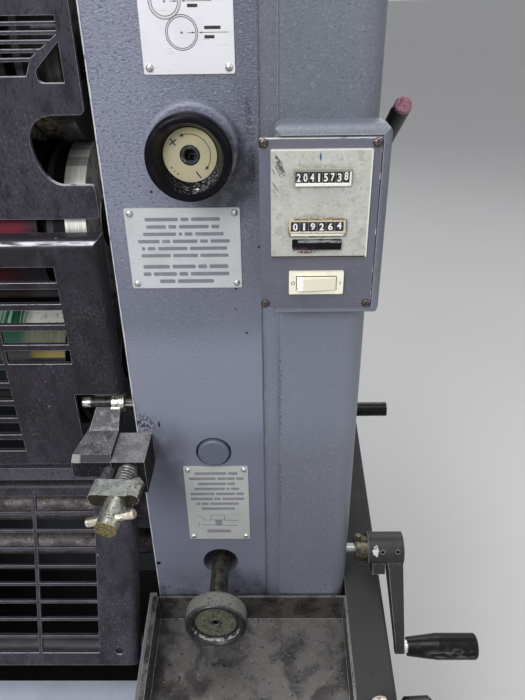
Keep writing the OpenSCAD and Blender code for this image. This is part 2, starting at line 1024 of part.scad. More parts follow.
// Outer halves of the clamps, against the column faces
module clamp_cap() {
  color("#6d6a63")
    both_sides()
      difference() {
        block([clamp_split, clamp_front, clamp_low], [clamp_x1, clamp_back, clamp_top]);
        on_screw()
          bar_y(0, -screw_in, screw_in, 0, screw_thin_d + 2 * run_gap);
      }
}

// Yokes that the clamp screws press on, each with a spacer and a stack of washers
module clamp_yoke() {
  neck_d = screw_thin_d + 2 * run_gap;
  color("#7c7c70")
    both_sides()
      difference() {
        on_screw()
          difference() {
            union() {
              rotate([0, -yoke_roll, 0]) {
                facing(-yoke_front, yoke_t - yoke_front)
                  round_rect(-yoke_left, -yoke_low, yoke_right, screw_d / 2, yoke_round);
                bar_y(yoke_right, -yoke_front, yoke_t - yoke_front, screw_d / 4, yoke_ball_d);
              }
              bar_y(spacer_x, yoke_t - yoke_front - far, screw_in, 0, spacer_d);
              bar_y(0, yoke_t - yoke_front - far, screw_in, 0, washer_d);
            }
            bar_y(0, -2 * yoke_front, 2 * screw_in, 0, neck_d);
          }
        block(
          [0, clamp_front - seat_gap, clamp_low - clamp_low / 2],
          [2 * clamp_x1, -clamp_front, 2 * clamp_top]
        );
      }
}

// Clamp screw with its cross bar
module clamp_screw() {
  color("#8d8a78")
    on_screw() {
      bar_y(0, -screw_end, -yoke_front - seat_gap, 0, screw_d);
      bar_y(0, -yoke_front - far, screw_in - pin_end, 0, screw_thin_d);
      translate([0, -bar_at, 0])
        rotate([0, -bar_tilt, 0])
          translate([bar_shift, 0, 0]) {
            bar_x(bar_soft - bar_l / 2, bar_l / 2 - bar_soft, 0, 0, bar_d);
            for (side = [0, 1])
              mirror([side, 0, 0])
                translate([bar_l / 2 - bar_soft, 0, 0])
                  rotate([0, 90, 0])
                    cylinder(h = bar_soft, d1 = bar_d, d2 = bar_d - 2 * bar_soft);
          }
    }
}

module clamp_screw_right() {
  clamp_screw();
}

module clamp_screw_left() {
  mirrored()
    clamp_screw();
}

knob_round = 4.5;
knob_back = 2.5;
lip_w = 7.5;
lip_drop = 1.3;
bowl_d = 45;
bowl_deep = 16;
bowl_dimple = 5;
dimple_d = 16.5;
numbering_knob_t = 24;
numbering_knob_round = 3;
numbering_back_round = 6;
numbering_lip_w = 8;
numbering_lip_drop = 3.5;
numbering_bowl_d = 53;
numbering_bowl_deep = 6.5;
numbering_dimple_d = 13;
numbering_collar_d = 28;
numbering_collar_t = 6;

// Round hand knob: a bowl with a thick round rim, its dial deep inside, on its shaft
module pressure_knob() {
  back = -boss_t - seat_gap;
  knob_r = knob_d / 2;
  turned(knob_x, back, pressure_z)
    difference() {
      union() {
        polygon([
          [0, 0],
          [knob_r - knob_back, 0],
          [knob_r, knob_t - 2 * knob_round],
          [knob_r, knob_t - knob_round],
          [knob_r - knob_round, knob_t],
          [0, knob_t]
        ]);
        translate([knob_r - knob_round, knob_t - knob_round])
          circle(knob_round);
      }
      polygon([
        [-far, knob_t + far],
        [knob_r - lip_w + far, knob_t + far],
        [knob_r - lip_w, knob_t - lip_drop],
        [bowl_d / 2, knob_t - bowl_deep],
        [-far, knob_t - bowl_deep]
      ]);
      translate([-far, knob_t - bowl_deep - bowl_dimple])
        square([dimple_d / 2 + far, bowl_dimple + far]);
    }
  bar_y(knob_x, back - far, knob_shaft_in - pin_end, pressure_z, knob_shaft_d);
}

module pressure_knob_right() {
  color("#1d1c1f")
    pressure_knob();
}

module pressure_knob_left() {
  color("#1d1c1f")
    mirrored()
      pressure_knob();
}

// Lower hand knob, a barrel with both edges rounded and a dial behind its sloping rim, on its long shaft
module numbering_knob() {
  back = numbering_knob_t - numbering_out;
  knob_r = knob_d / 2;
  turned(knob_x, back, numbering_z)
    difference() {
      union() {
        translate([0, numbering_back_round])
          rim_section(knob_r, numbering_knob_t - numbering_back_round, numbering_knob_round);
        square([knob_r - numbering_back_round, numbering_knob_t]);
        translate([knob_r - numbering_back_round, numbering_back_round])
          circle(numbering_back_round);
      }
      polygon([
        [-far, numbering_knob_t + far],
        [knob_r - numbering_knob_round + far, numbering_knob_t + far],
        [knob_r - numbering_knob_round - far, numbering_knob_t],
        [knob_r - numbering_lip_w, numbering_knob_t - numbering_lip_drop],
        [numbering_bowl_d / 2, numbering_knob_t - numbering_bowl_deep],
        [-far, numbering_knob_t - numbering_bowl_deep]
      ]);
      translate([-far, numbering_knob_t - numbering_bowl_deep - bowl_dimple])
        square([numbering_dimple_d / 2 + far, bowl_dimple + far]);
    }
  bar_y(knob_x, back - far, numbering_shaft_in - pin_end, numbering_z, numbering_shaft_d);
  bar_y(knob_x, back - far, back + numbering_collar_t, numbering_z, numbering_collar_d);
}

module numbering_knob_right() {
  color("#2b2a2a")
    numbering_knob();
}

module numbering_knob_left() {
  color("#2b2a2a")
    mirrored()
      numbering_knob();
}

// Blind cap with a rounded edge, in a ring groove of the casting
module plug_cap() {
  turned(knob_x, plug_in, plug_z)
    rim_section(plug_d / 2, plug_in + plug_out, plug_round);
}

module plug_cap_right() {
  color("#666a76")
    plug_cap();
}

module plug_cap_left() {
  color("#666a76")
    mirrored()
      plug_cap();
}

face_plate_t = 1;
face_plate_round = 2;
top_plate_w = 74;
top_plate_h = 95;
top_plate_up = 58;
middle_plate_w = 105;
middle_plate_h = 79;
middle_plate_down = 53;
lower_plate_w = 74;
lower_plate_h = 115.5;
lower_plate_down = 20.5;
plate_edge = 18;

// Riveted metal plate on the column face; its right edge stands plate_edge before the seam
module face_plate(w, h, z0) {
  x1 = seam_x - plate_edge;
  color("#b9b9c2")
    facing(-face_plate_t, 0)
      round_rect(x1 - w, z0, x1, z0 + h, face_plate_round);
}

module instruction_plate_top() {
  face_plate(top_plate_w, top_plate_h, pressure_z + top_plate_up);
}

module instruction_plate_middle() {
  face_plate(middle_plate_w, middle_plate_h, pressure_z - middle_plate_down - middle_plate_h);
}

module instruction_plate_lower() {
  face_plate(lower_plate_w, lower_plate_h, plug_z - lower_plate_down - lower_plate_h);
}

panel_edge = 0.2;
panel_t = 3;
panel_x0 = cover_x + panel_edge;
panel_x1 = panel_x0 + panel_w;
panel_z0 = panel_z - panel_h / 2;
panel_z1 = panel_z + panel_h / 2;
panel_round = 2;
counter_round = 10;
counter_side = 9;
counter_top = 10;
counter_low = -9;
counter_in = 11.2;
panel_gap = 2;
plate_t = 2;
plate_in = 9.4;
plate_w = 84;
plate_h = 94;
plate_down = 8.5;
plate_round = 1.5;
plate_x0 = panel_x0 + plate_in;
plate_z1 = panel_z1 - plate_down;
window_t = 2;
window_edge = 1;
total_in = 18.9;
total_w = 47.8;
total_h = 14.6;
total_down = 14.8;
job_in = 15;
job_w = 49.5;
job_h = 15.5;
job_down = 58;
key_w = 42;
key_h = 8.4;
key_in_x = 19;
key_down = 77;
key_out = 3;
key_root = 1;
key_travel = 3;
bezel_t = 3;
bezel_w = 49;
bezel_h = 22;
bezel_in = 25.4;
bezel_up = 14.5;
bezel_round = 1;
rocker_w = 35;
rocker_h = 12.5;
rocker_out = 4.5;
rocker_pocket = 6;
rocker_pin_d = 2;
rocker_pin_out = 0.8;
rocker_gap = 0.5;
bezel_x0 = panel_x0 + bezel_in;
bezel_z0 = panel_z0 + bezel_up;
rocker_x = bezel_x0 + bezel_w / 2;
rocker_z = bezel_z0 + bezel_h / 2;
rocker_y = -panel_out - bezel_t / 2;

module key_slot(grow) {
  translate([plate_x0 + key_in_x - grow, plate_z1 - key_down - key_h - grow])
    square([key_w + 2 * grow, key_h + 2 * grow]);
}

module rocker_hole() {
  translate([rocker_x - rocker_w / 2 - rocker_gap, rocker_z - rocker_h / 2 - rocker_gap])
    square([rocker_w + 2 * rocker_gap, rocker_h + 2 * rocker_gap]);
}

// Section with two rounded corners on its front side, at the two ends of its width
module soft_section(front, back, low, high, r) {
  translate([front + r, low])
    square([back - front - r, high - low]);
  translate([front, low + r])
    square([back - front, high - low - 2 * r]);
  for (v = [low + r, high - r])
    translate([front + r, v])
      circle(r);
}

// Body with all its front edges and its four upright corners rounded
module soft_block(x0, x1, y0, y1, z0, z1, r) {
  intersection() {
    across(x0, x1)
      soft_section(y0, y1, z0, z1, r);
    translate([0, 0, z0])
      linear_extrude(z1 - z0)
        mirror([1, -1])
          soft_section(y0, y1, x0, x1, r);
    facing(y0, y1)
      round_rect(x0, z0, x1, z1, r);
  }
}

// Housing of the counters on the cover, with a shallow recess for its front panel
module counter_housing() {
  x0 = cover_x + counter_in;
  key_back = -panel_out + key_root + key_travel + far;
  color("#5d6169")
    difference() {
      soft_block(
        x0, panel_x1 + counter_side, -panel_out, -cover_rise - seat_gap,
        panel_z0 + counter_low, panel_z1 + counter_top, counter_round
      );
      block(
        [x0 - far, -panel_out - far, panel_z0 + counter_low - far],
        [panel_x1 + panel_gap / 2, -panel_out + panel_t, panel_z1 + panel_gap]
      );
      facing(-panel_out, key_back)
        key_slot(seat_gap);
      facing(-panel_out, -panel_out + rocker_pocket)
        rocker_hole();
    }
}

module counter_panel() {
  color("#5d6169")
    facing(-panel_out, -panel_out + panel_t)
      difference() {
        round_rect(panel_x0, panel_z0, panel_x1, panel_z1, panel_round);
        key_slot(seat_gap);
        rocker_hole();
      }
}

module counter_plate() {
  color("#c9c4b2")
    facing(-panel_out - plate_t, -panel_out)
      difference() {
        round_rect(plate_x0, plate_z1 - plate_h, plate_x0 + plate_w, plate_z1, plate_round);
        key_slot(seat_gap);
      }
}

// Framed window of a counter on the cream plate
module counter_window(x_in, down, w, h) {
  facing(-panel_out - plate_t - window_t, -panel_out - plate_t)
    round_rect(plate_x0 + x_in, plate_z1 - down - h, plate_x0 + x_in + w, plate_z1 - down, window_edge);
}

module total_counter() {
  color("#e8e6df")
    counter_window(total_in, total_down, total_w, total_h);
}

module job_counter() {
  color("#8a5a40")
    counter_window(job_in, job_down, job_w, job_h);
}

module reset_key() {
  color("#1b1b1d")
    facing(-panel_out - plate_t - key_out, -panel_out + key_root)
      key_slot(0);
}

module switch_bezel() {
  color("#d8d0b4")
    difference() {
      facing(-panel_out - bezel_t, -panel_out)
        difference() {
          round_rect(bezel_x0, bezel_z0, bezel_x0 + bezel_w, bezel_z0 + bezel_h, bezel_round);
          rocker_hole();
        }
      translate([rocker_x, rocker_y, rocker_z - rocker_h / 2 - rocker_gap - far])
        cylinder(h = rocker_h + 2 * rocker_gap + 2 * far, d = rocker_pin_d + 2 * run_gap);
    }
}

module rocker_switch() {
  pin_h = rocker_h + 2 * rocker_gap + 2 * rocker_pin_out;
  color("#d8d0b4") {
    block(
      [rocker_x - rocker_w / 2, -panel_out - rocker_out, rocker_z - rocker_h / 2],
      [rocker_x + rocker_w / 2, -panel_out, rocker_z + rocker_h / 2]
    );
    translate([rocker_x, rocker_y, rocker_z - pin_h / 2])
      cylinder(h = pin_h, d = rocker_pin_d);
  }
}

crank_collar_out = 10.8;
crank_collar_w = 15.4;
crank_collar_d = 31;
hub_x0 = outer_x + crank_collar_out + crank_collar_w;
hub_w = 45;
hub_x1 = hub_x0 + hub_w;
hub_d = 41;
arm_w0 = 20.5;
arm_w1 = 11;
arm_lean = 2;
arm_out = 1.2;
arm_x1 = hub_x1 + arm_out;
arm_root = 30;
arm_tip = 18;
lug_x = 6;
lug_x_w = 16;
lug_drop = 10;
lug_root = 30;
lug_tip = 20;
crank_pin_d = 10;
spacer_w = 4;
grip_spacer_d = 17;
grip_taper = 38;
grip_l = 88;
grip_d0 = 23;
grip_d1 = 32;
grip_round = 3;
set_pin_d = 7;
set_pin_out = 8;
hub_hole_d = 5;
hub_hole_deep = 10;
hub_hole_x = [17.5, 36.5];
hub_hole_a = 34;

// Places its children on the crank: their Z runs from the grip pin up to the crank axis
module on_crank() {
  translate([0, crank_y, crank_z])
    rotate([-crank_a, 0, 0])
      children();
}

// Crank: shaft, collar with its pin, drilled hub with a lug, and the tapering arm
module crank_arm() {
  collar_x0 = outer_x + crank_collar_out;
  color("#55575c")
    difference() {
      union() {
        bar_x(outer_x - stub_in + pin_end, hub_x1, crank_y, crank_z, crank_shaft_d);
        bar_x(collar_x0, hub_x0, crank_y, crank_z, crank_collar_d);
        bar_x(hub_x0, hub_x1, crank_y, crank_z, hub_d);
        translate([collar_x0 + set_pin_d / 2, crank_y, crank_z])
          cylinder(h = crank_collar_d / 2 + set_pin_out, d = set_pin_d);
        on_crank() {
          intersection() {
            across(arm_x1 - 2 * arm_w0, arm_x1)
              polygon([
                [-arm_root / 2, 0], [arm_root / 2, 0],
                [arm_tip / 2, -crank_l], [-arm_tip / 2, -crank_l]
              ]);
            facing(-arm_root, arm_root)
              polygon([
                [arm_x1 - arm_lean - arm_w0, 0], [arm_x1 - arm_lean, 0],
                [arm_x1, -crank_l], [arm_x1 - arm_w1, -crank_l]
              ]);
          }
          across(hub_x0 + lug_x, hub_x0 + lug_x + lug_x_w)
            polygon([
              [-lug_root / 2, 0], [lug_root / 2, 0],
              [lug_tip / 2, -hub_d / 2 - lug_drop], [-lug_tip / 2, -hub_d / 2 - lug_drop]
            ]);
          bar_x(arm_x1 - arm_w1, arm_x1, 0, -crank_l, arm_tip);
          bar_x(arm_x1 - far, arm_x1 + spacer_w, 0, -crank_l, grip_spacer_d);
          bar_x(arm_x1, arm_x1 + spacer_w + grip_l - grip_round, 0, -crank_l, crank_pin_d);
        }
      }
      for (x = hub_hole_x)
        translate([hub_x0 + x, crank_y, crank_z])
          rotate([90 - hub_hole_a, 0, 0])
            translate([0, 0, hub_d / 2 - hub_hole_deep])
              cylinder(h = hub_hole_deep + far, d = hub_hole_d);
    }
}

// Tapered grip that turns on the crank pin
module crank_grip() {
  color("#131315")
    on_crank()
      translate([arm_x1 + spacer_w + seat_gap, 0, -crank_l])
        rotate([0, 90, 0])
          difference() {
            union() {
              cylinder(h = grip_taper, d1 = grip_d0, d2 = grip_d1);
              translate([0, 0, grip_taper])
                rotate_extrude()
                  rim_section(grip_d1 / 2, grip_l - grip_taper, grip_round);
            }
            translate([0, 0, -far])
              cylinder(h = grip_l - grip_round + far, d = crank_pin_d + 2 * run_gap);
          }
}

lever_gap = 3;
lever_hub_d = 34;
lever_t = 10;
lever_w = 24;
side_grip_y = 202;
side_grip_z = 849;
side_grip_d = 20;
side_grip_l = 69;

// Lever with a black grip on the right side
module side_lever() {
  run = [side_grip_y - side_lever_y, side_grip_z - side_lever_z];
  reach = norm(run);
  fall = atan2(run[1], run[0]);
  color("#18181a") {
    bar_x(outer_x - stub_in + pin_end, outer_x + lever_gap + lever_t, side_lever_y, side_lever_z, lever_pin_d);
    bar_x(outer_x + lever_gap, outer_x + lever_gap + lever_t, side_lever_y, side_lever_z, lever_hub_d);
    across(outer_x + lever_gap, outer_x + lever_gap + lever_t)
      translate([side_lever_y, side_lever_z])
        rotate(fall)
          translate([0, -lever_w / 2])
            square([reach, lever_w]);
    bar_x(outer_x + lever_gap, outer_x + lever_gap + side_grip_l, side_grip_y, side_grip_z, side_grip_d);
  }
}

release_hub_d = 30;
release_hub_w = 14;
release_out = 62;
release_knuckle_d = 25;
release_a = 58.8;
release_l = 143;
release_d = 21;
release_round = 2.5;
release_rod_d = 3;
release_rod_l = 130;

// Impression release lever: a thick grip that leans forward, with a rounded end and a thin rod beside it
module release_lever() {
  color("#7c2f38") {
    bar_x(outer_x - stub_in + pin_end, outer_x + release_out, release_y, release_z, lever_pin_d);
    bar_x(outer_x + lever_gap, outer_x + lever_gap + release_hub_w, release_y, release_z, release_hub_d);
    bar_x(
      outer_x + release_out - release_d / 2, outer_x + release_out + release_d / 2,
      release_y, release_z, release_knuckle_d
    );
    translate([outer_x + release_out, release_y, release_z])
      rotate([release_a, 0, 0]) {
        rotate_extrude()
          rim_section(release_d / 2, release_l, release_round);
        translate([-release_d / 2 - release_rod_d / 4, 0, 0])
          cylinder(h = release_rod_l, d = release_rod_d);
      }
  }
}

pile_hub_d = 28;
pile_hub_h = 24;
pile_hub_up = 2;
pile_hub_round = 4;
pile_neck_d = 12;
pile_neck_l = 20;
pile_grip_d = 30;
pile_grip_l = 42;
pile_grip_round = 8;
pile_up = 13;
pile_a = 84;

// Swivelling lever on top of the right wall, with a worn round head and a thick black grip
module pile_lever() {
  color("#1a1a1c")
    on_slope()
      translate([lever_x, lever_s, 0]) {
        translate([0, 0, -stub_in + pin_end])
          cylinder(h = stub_in + pile_hub_up, d = lever_pin_d);
        translate([0, 0, pile_hub_up])
          cylinder(h = pile_hub_h - pile_hub_round, d = pile_hub_d);
        translate([0, 0, pile_hub_up + pile_hub_h - pile_hub_round])
          cylinder(h = pile_hub_round, d1 = pile_hub_d, d2 = pile_hub_d - 2 * pile_hub_round);
        translate([0, 0, pile_up])
          rotate([0, pile_a, 0]) {
            cylinder(h = pile_neck_l, d = pile_neck_d);
            translate([0, 0, pile_neck_l - far])
              cylinder(h = pile_grip_round, d1 = pile_neck_d, d2 = pile_grip_d);
            translate([0, 0, pile_neck_l - far + pile_grip_round])
              cylinder(h = pile_grip_l - 2 * pile_grip_round, d = pile_grip_d);
            translate([0, 0, pile_neck_l - far + pile_grip_l - pile_grip_round])
              cylinder(h = pile_grip_round, d1 = pile_grip_d, d2 = pile_grip_d - 2 * pile_grip_round);
          }
      }
}

base_plinth();
column_right();
column_left();
cover_right();
cover_left();
side_wall_right();
side_wall_left();
delivery_box_right();
delivery_box_left();
delivery_crossbeam();
pile_board();
tool_tray();
ink_unit_housing();
rear_panel();
feed_board();
guard_rail();
guard_upper();
guard_blanket();
guard_delivery();
plate_cylinder();
blanket_cylinder();
impression_cylinder();
numbering_shaft();
delivery_roller();
lower_roller();
clamp_shaft();
clamp_block();
clamp_cap();
clamp_yoke();
clamp_screw_right();
clamp_screw_left();
pressure_knob_right();
pressure_knob_left();
numbering_knob_right();
numbering_knob_left();
plug_cap_right();
plug_cap_left();
instruction_plate_top();
instruction_plate_middle();
instruction_plate_lower();
counter_housing();
counter_panel();
counter_plate();
total_counter();
job_counter();
reset_key();
switch_bezel();
rocker_switch();
crank_arm();
crank_grip();
side_lever();
release_lever();
pile_lever();
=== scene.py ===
"""Looks of an offset press printing unit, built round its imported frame.

Lengths are metres. +X is the operator's side, +Y the feed end and +Z up.
"""

import math

import bmesh
import bpy
import numpy as np
from bpy.props import FloatProperty, FloatVectorProperty, IntProperty, PointerProperty, StringProperty
from mathutils import Matrix, Vector


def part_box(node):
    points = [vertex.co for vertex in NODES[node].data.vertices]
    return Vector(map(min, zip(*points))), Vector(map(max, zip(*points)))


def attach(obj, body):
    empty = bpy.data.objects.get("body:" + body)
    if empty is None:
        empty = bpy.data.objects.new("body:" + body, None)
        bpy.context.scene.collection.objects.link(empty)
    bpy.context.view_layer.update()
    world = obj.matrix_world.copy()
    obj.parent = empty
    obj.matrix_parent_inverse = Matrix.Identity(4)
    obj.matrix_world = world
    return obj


bl_info = {
    "name": "Offset press printing unit",
    "version": (1, 0, 0),
    "blender": (4, 5, 0),
    "location": "View3D > Sidebar > Press",
    "description": "Finishes, small fasteners, dials, counters and stage for the printing unit",
    "category": "Object",
}

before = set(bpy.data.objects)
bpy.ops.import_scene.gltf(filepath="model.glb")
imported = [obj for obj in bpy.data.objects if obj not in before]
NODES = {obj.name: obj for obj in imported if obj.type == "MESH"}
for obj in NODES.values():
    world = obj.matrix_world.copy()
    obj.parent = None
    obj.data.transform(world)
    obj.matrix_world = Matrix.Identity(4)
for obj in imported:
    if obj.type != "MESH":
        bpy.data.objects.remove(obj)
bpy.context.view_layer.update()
MM = 0.001
FINISH_PREFIX = "press_"

RIGHT = np.array([1.0, 0.0, 0.0])
BACK = np.array([0.0, 1.0, 0.0])
UP = np.array([0.0, 0.0, 1.0])


def corners(node):
    """Lowest and highest corner of a CAD node as arrays."""
    low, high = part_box(node)
    return np.array(low), np.array(high)


def middle(node):
    """Centre of a CAD node's box."""
    low, high = corners(node)
    return (low + high) / 2


def front(node, x=None, z=None):
    """A point on a node's front face, at its centre or at the x and z given."""
    low, _ = corners(node)
    centre = middle(node)
    return np.array([centre[0] if x is None else x, low[1], centre[2] if z is None else z])


def tone(color):
    """Linear colour of an sRGB one given from 0 to 255; a linear one with its alpha stays as it is."""
    if len(color) == 4:
        return tuple(color)
    srgb = np.array(color) / 255
    linear = np.where(srgb <= 0.04045, srgb / 12.92, ((srgb + 0.055) / 1.055) ** 2.4)
    return (*linear.tolist(), 1.0)


# Surfaces: a shape is a pair of an array of points and a list of faces


def circle(radius, sides=32, centre=(0.0, 0.0), height=0.0):
    """Points at equal angles round a centre: x = r cos a, y = r sin a, at one height."""
    angle = np.linspace(0, 2 * np.pi, sides, endpoint=False)
    return np.stack(
        [centre[0] + radius * np.cos(angle), centre[1] + radius * np.sin(angle), np.full(sides, height)],
        axis=-1,
    )


def rounded(width, depth, radius, height=0.0, steps=6):
    """Rectangle with four quarter-circle corners, each of `steps` points, at one height."""
    radius = max(min(radius, width / 2, depth / 2), 1e-5)
    angle = (np.arange(4)[:, None] * np.pi / 2 + np.linspace(0, np.pi / 2, steps)).ravel()
    side_x = np.repeat([1, -1, -1, 1], steps) * (width / 2 - radius)
    side_y = np.repeat([1, 1, -1, -1], steps) * (depth / 2 - radius)
    return np.stack(
        [side_x + radius * np.cos(angle), side_y + radius * np.sin(angle), np.full(4 * steps, height)],
        axis=-1,
    )


def stacked(rings):
    """Closed surface through rings of equal counts: quads between neighbours and a flat cap at each end."""
    rings = np.asarray(rings, float)
    count, sides = rings.shape[:2]
    index = np.arange(count * sides).reshape(count, sides)
    after = np.roll(index, -1, axis=1)
    quads = np.stack([index[:-1], after[:-1], after[1:], index[1:]], axis=-1).reshape(-1, 4)
    return rings.reshape(-1, 3), quads.tolist() + [index[0, ::-1].tolist(), index[-1].tolist()]


def looped(rings):
    """Closed surface through rings that join up again: quads wrap both round the rings and along them."""
    rings = np.asarray(rings, float)
    count, sides = rings.shape[:2]
    index = np.arange(count * sides).reshape(count, sides)
    after = np.roll(index, -1, axis=1)
    quads = np.stack([index, after, np.roll(after, -1, axis=0), np.roll(index, -1, axis=0)], axis=-1)
    return rings.reshape(-1, 3), quads.reshape(-1, 4).tolist()


def turned(profile, sides=48):
    """Surface of revolution about Z: each (radius, height) of the profile becomes one circle."""
    return stacked([circle(radius, sides, height=height) for radius, height in profile])


def dome(radius, height, sides=32, steps=7):
    """Rivet head: circles whose radius falls as the cosine and whose height grows as the sine."""
    angle = np.linspace(0, np.pi / 2 * 0.97, steps)
    return turned(
        [(radius, -0.2 * height)] + list(zip(radius * np.cos(angle), height * np.sin(angle))), sides,
    )


def slab(width, depth, radius, thickness, edge=0.0):
    """Rounded rectangle raised by a thickness, its upper edge eased by a quarter-circle fillet."""
    angle = np.linspace(0, np.pi / 2, 4) if edge else np.array([0.0])
    rings = [rounded(width, depth, radius)]
    for turn in angle:
        inset = edge * (1 - math.cos(turn))
        height = thickness - edge * (1 - math.sin(turn))
        rings.append(rounded(width - 2 * inset, depth - 2 * inset, radius - inset, height))
    return stacked(rings)


def frame_ring(width, depth, radius, border, thickness, edge):
    """Rectangular frame: outer wall, flat top with eased edges and inner wall, joined into one loop."""
    inner = radius * 0.4
    side, end = border
    steps = [
        (0, 0, 0, radius), (0, 0, thickness - edge, radius), (edge, edge, thickness, radius),
        (side - edge, end - edge, thickness, inner), (side, end, thickness - edge, inner),
        (side, end, 0, inner),
    ]
    return looped([
        rounded(width - 2 * inset, depth - 2 * drop, max(corner, 0.1 * MM), height)
        for inset, drop, height, corner in steps
    ])


def washer(inner, outer, height, edge, sides=64):
    """Flat ring: outer wall, top with eased edges and inner wall, joined into one loop of circles."""
    steps = [(outer, 0), (outer, height - edge), (outer - edge, height), (inner + edge, height),
             (inner, height - edge), (inner, 0)]
    return looped([circle(radius, sides, height=level) for radius, level in steps])


def ribbon(path, widths, thickness):
    """Flat bar along a path in the XY plane: each point spreads to both sides by half its width."""
    path = np.asarray(path, float)
    ahead = np.gradient(path, axis=0)
    ahead /= np.linalg.norm(ahead, axis=1, keepdims=True)
    aside = np.column_stack([-ahead[:, 1], ahead[:, 0]]) * np.asarray(widths)[:, None] / 2
    corner = [path - aside, path + aside]
    low = [np.column_stack([side, np.zeros(len(path))]) for side in corner]
    high = [np.column_stack([side, np.full(len(path), thickness)]) for side in corner]
    return stacked(np.stack([low[0], low[1], high[1], high[0]], axis=1))


def arc_path(radius, start, end, count=25):
    """Points at equal angles of an arc, from start to end in degrees."""
    angle = np.radians(np.linspace(start, end, count))
    return np.column_stack([radius * np.cos(angle), radius * np.sin(angle)])


def arrow(start, end, width, head, thickness):
    """Straight arrow from start to end, its head `head` long and half as wide."""
    start, end = np.array(start, float), np.array(end, float)
    ahead = (end - start) / np.linalg.norm(end - start)
    neck = end - head * ahead
    path = [start, neck - 0.02 * head * ahead, neck, end]
    return ribbon(path, [width, width, 0.5 * head, 0.05 * width], thickness)


def drum(width, height, bulge):
    """Front part of a number wheel: a shallow circle segment on Y and Z, carried along X."""
    turn = np.linspace(-1, 1, 9)
    arch = np.column_stack([turn * height / 2, bulge * (1 - turn ** 2)])
    section = np.concatenate([arch, [[height / 2, -bulge], [-height / 2, -bulge]]])
    ends = [np.column_stack([np.full(len(section), x), section]) for x in (-width / 2, width / 2)]
    return stacked(ends)


def screw_head(radius, height, slot, arms=4, rings=14, sides=64):
    """Pan head on a polar grid: height falls as 1 - (r/R)^4 and sinks along `arms` half slots."""
    share = np.linspace(1.0, 0.0, rings, endpoint=False)
    angle = np.linspace(0, 2 * np.pi, sides, endpoint=False)
    r, a = np.meshgrid(share * radius, angle, indexing="ij")
    level = height * (1 - 0.75 * (r / radius) ** 4)
    nearest = np.round(a / (2 * np.pi / arms)) * (2 * np.pi / arms)
    across = np.abs(r * np.sin(a - nearest))
    inside = np.clip((slot - across) / (0.3 * slot), 0, 1) * np.clip(
        (0.75 * radius - r) / (0.1 * radius), 0, 1,
    )
    level = level - 0.8 * height * inside
    cup = np.stack([r * np.cos(a), r * np.sin(a), level], axis=-1)
    base = cup[:1].copy()
    base[..., 2] = -0.3 * height
    return stacked(np.concatenate([base, cup]))


def placed(shape, origin, right=RIGHT, up=UP):
    """A shape moved from its own X, Y and Z to the press: X along right, Y along up, Z square to both."""
    points, faces = shape
    basis = np.array([right, up, np.cross(right, up)])
    return points @ basis + np.asarray(origin), faces


def shifted(shape, x=0.0, y=0.0, z=0.0):
    """A shape moved by the distances given."""
    return shape[0] + np.array([x, y, z]), shape[1]


def turned_in_plane(shape, degrees):
    """A shape turned about its own Z."""
    c, s = math.cos(math.radians(degrees)), math.sin(math.radians(degrees))
    return shape[0] @ np.array([[c, s, 0], [-s, c, 0], [0, 0, 1]]), shape[1]


def joined(shapes):
    """Several shapes as one: faces are renumbered by the points that come before them."""
    points, faces, start = [], [], 0
    for own_points, own_faces in shapes:
        points.append(own_points)
        faces += [[start + i for i in face] for face in own_faces]
        start += len(own_points)
    return np.concatenate(points), faces


def piece(name, shape, body, finish, sharp=40):
    """Puts a shape into the scene as one named object that rides on a body."""
    points, faces = shape
    mesh = bpy.data.meshes.new(name)
    mesh.from_pydata(points.tolist(), [], faces)
    work = bmesh.new()
    work.from_mesh(mesh)
    bmesh.ops.remove_doubles(work, verts=work.verts, dist=1e-7)
    bmesh.ops.recalc_face_normals(work, faces=work.faces)
    work.to_mesh(mesh)
    work.free()
    mesh.shade_smooth()
    mesh.set_sharp_from_angle(angle=math.radians(sharp))
    mesh.materials.append(material(finish))
    made = bpy.data.objects.new(name, mesh)
    bpy.context.scene.collection.objects.link(made)
    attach(made, body)
    return made


def lettering(text, height, width, depth, weight=0.02):
    """Plain figures as a shape: a text object is made a mesh, centred and scaled to a height and width."""
    curve = bpy.data.curves.new("figures", "FONT")
    curve.body = text
    curve.extrude = depth
    curve.offset = weight
    curve.resolution_u = 4
    curve.align_x = "CENTER"
    maker = bpy.data.objects.new("figures", curve)
    bpy.context.scene.collection.objects.link(maker)
    bpy.context.view_layer.update()
    mesh = maker.to_mesh()
    points = np.empty(len(mesh.vertices) * 3)
    mesh.vertices.foreach_get("co", points)
    points = points.reshape(-1, 3)
    faces = [list(face.vertices) for face in mesh.polygons]
    maker.to_mesh_clear()
    bpy.data.objects.remove(maker)
    bpy.data.curves.remove(curve)
    size = np.ptp(points, axis=0)
    centre = (points.min(0) + points.max(0)) / 2
    flat = (points[:, :2] - centre[:2]) * (width / size[0], height / size[1])
    return np.column_stack([flat, points[:, 2]]), faces


def screw_axis():
    """Where the right clamp screw leaves its clamp's front face, and its axis to the back."""
    looks = bpy.context.scene.press_looks
    low, high = corners("clamp_cap")
    tilt, turn = math.radians(looks.screw_tilt), math.radians(looks.screw_turn)
    seat = np.array([high[0] - looks.screw_inset, low[1], (low[2] + high[2]) / 2 + 10 * MM])
    back = np.array([-math.sin(turn) * math.cos(tilt), math.cos(turn) * math.cos(tilt), math.sin(tilt)])
    return seat, back


# Finishes: each is one material whose patterns read Object coordinates

FINISHES = {}


def listed(maker):
    """Lists a finish under its own name."""
    FINISHES[maker.__name__] = maker
    return maker


def add_node(tree, kind, inputs=None, **settings):
    """A new node, with sockets linked or set by name or number."""
    node = tree.nodes.new(kind)
    for key, value in settings.items():
        setattr(node, key, value)
    for key, value in (inputs or {}).items():
        if isinstance(value, bpy.types.NodeSocket):
            tree.links.new(value, node.inputs[key])
        else:
            node.inputs[key].default_value = value
    return node


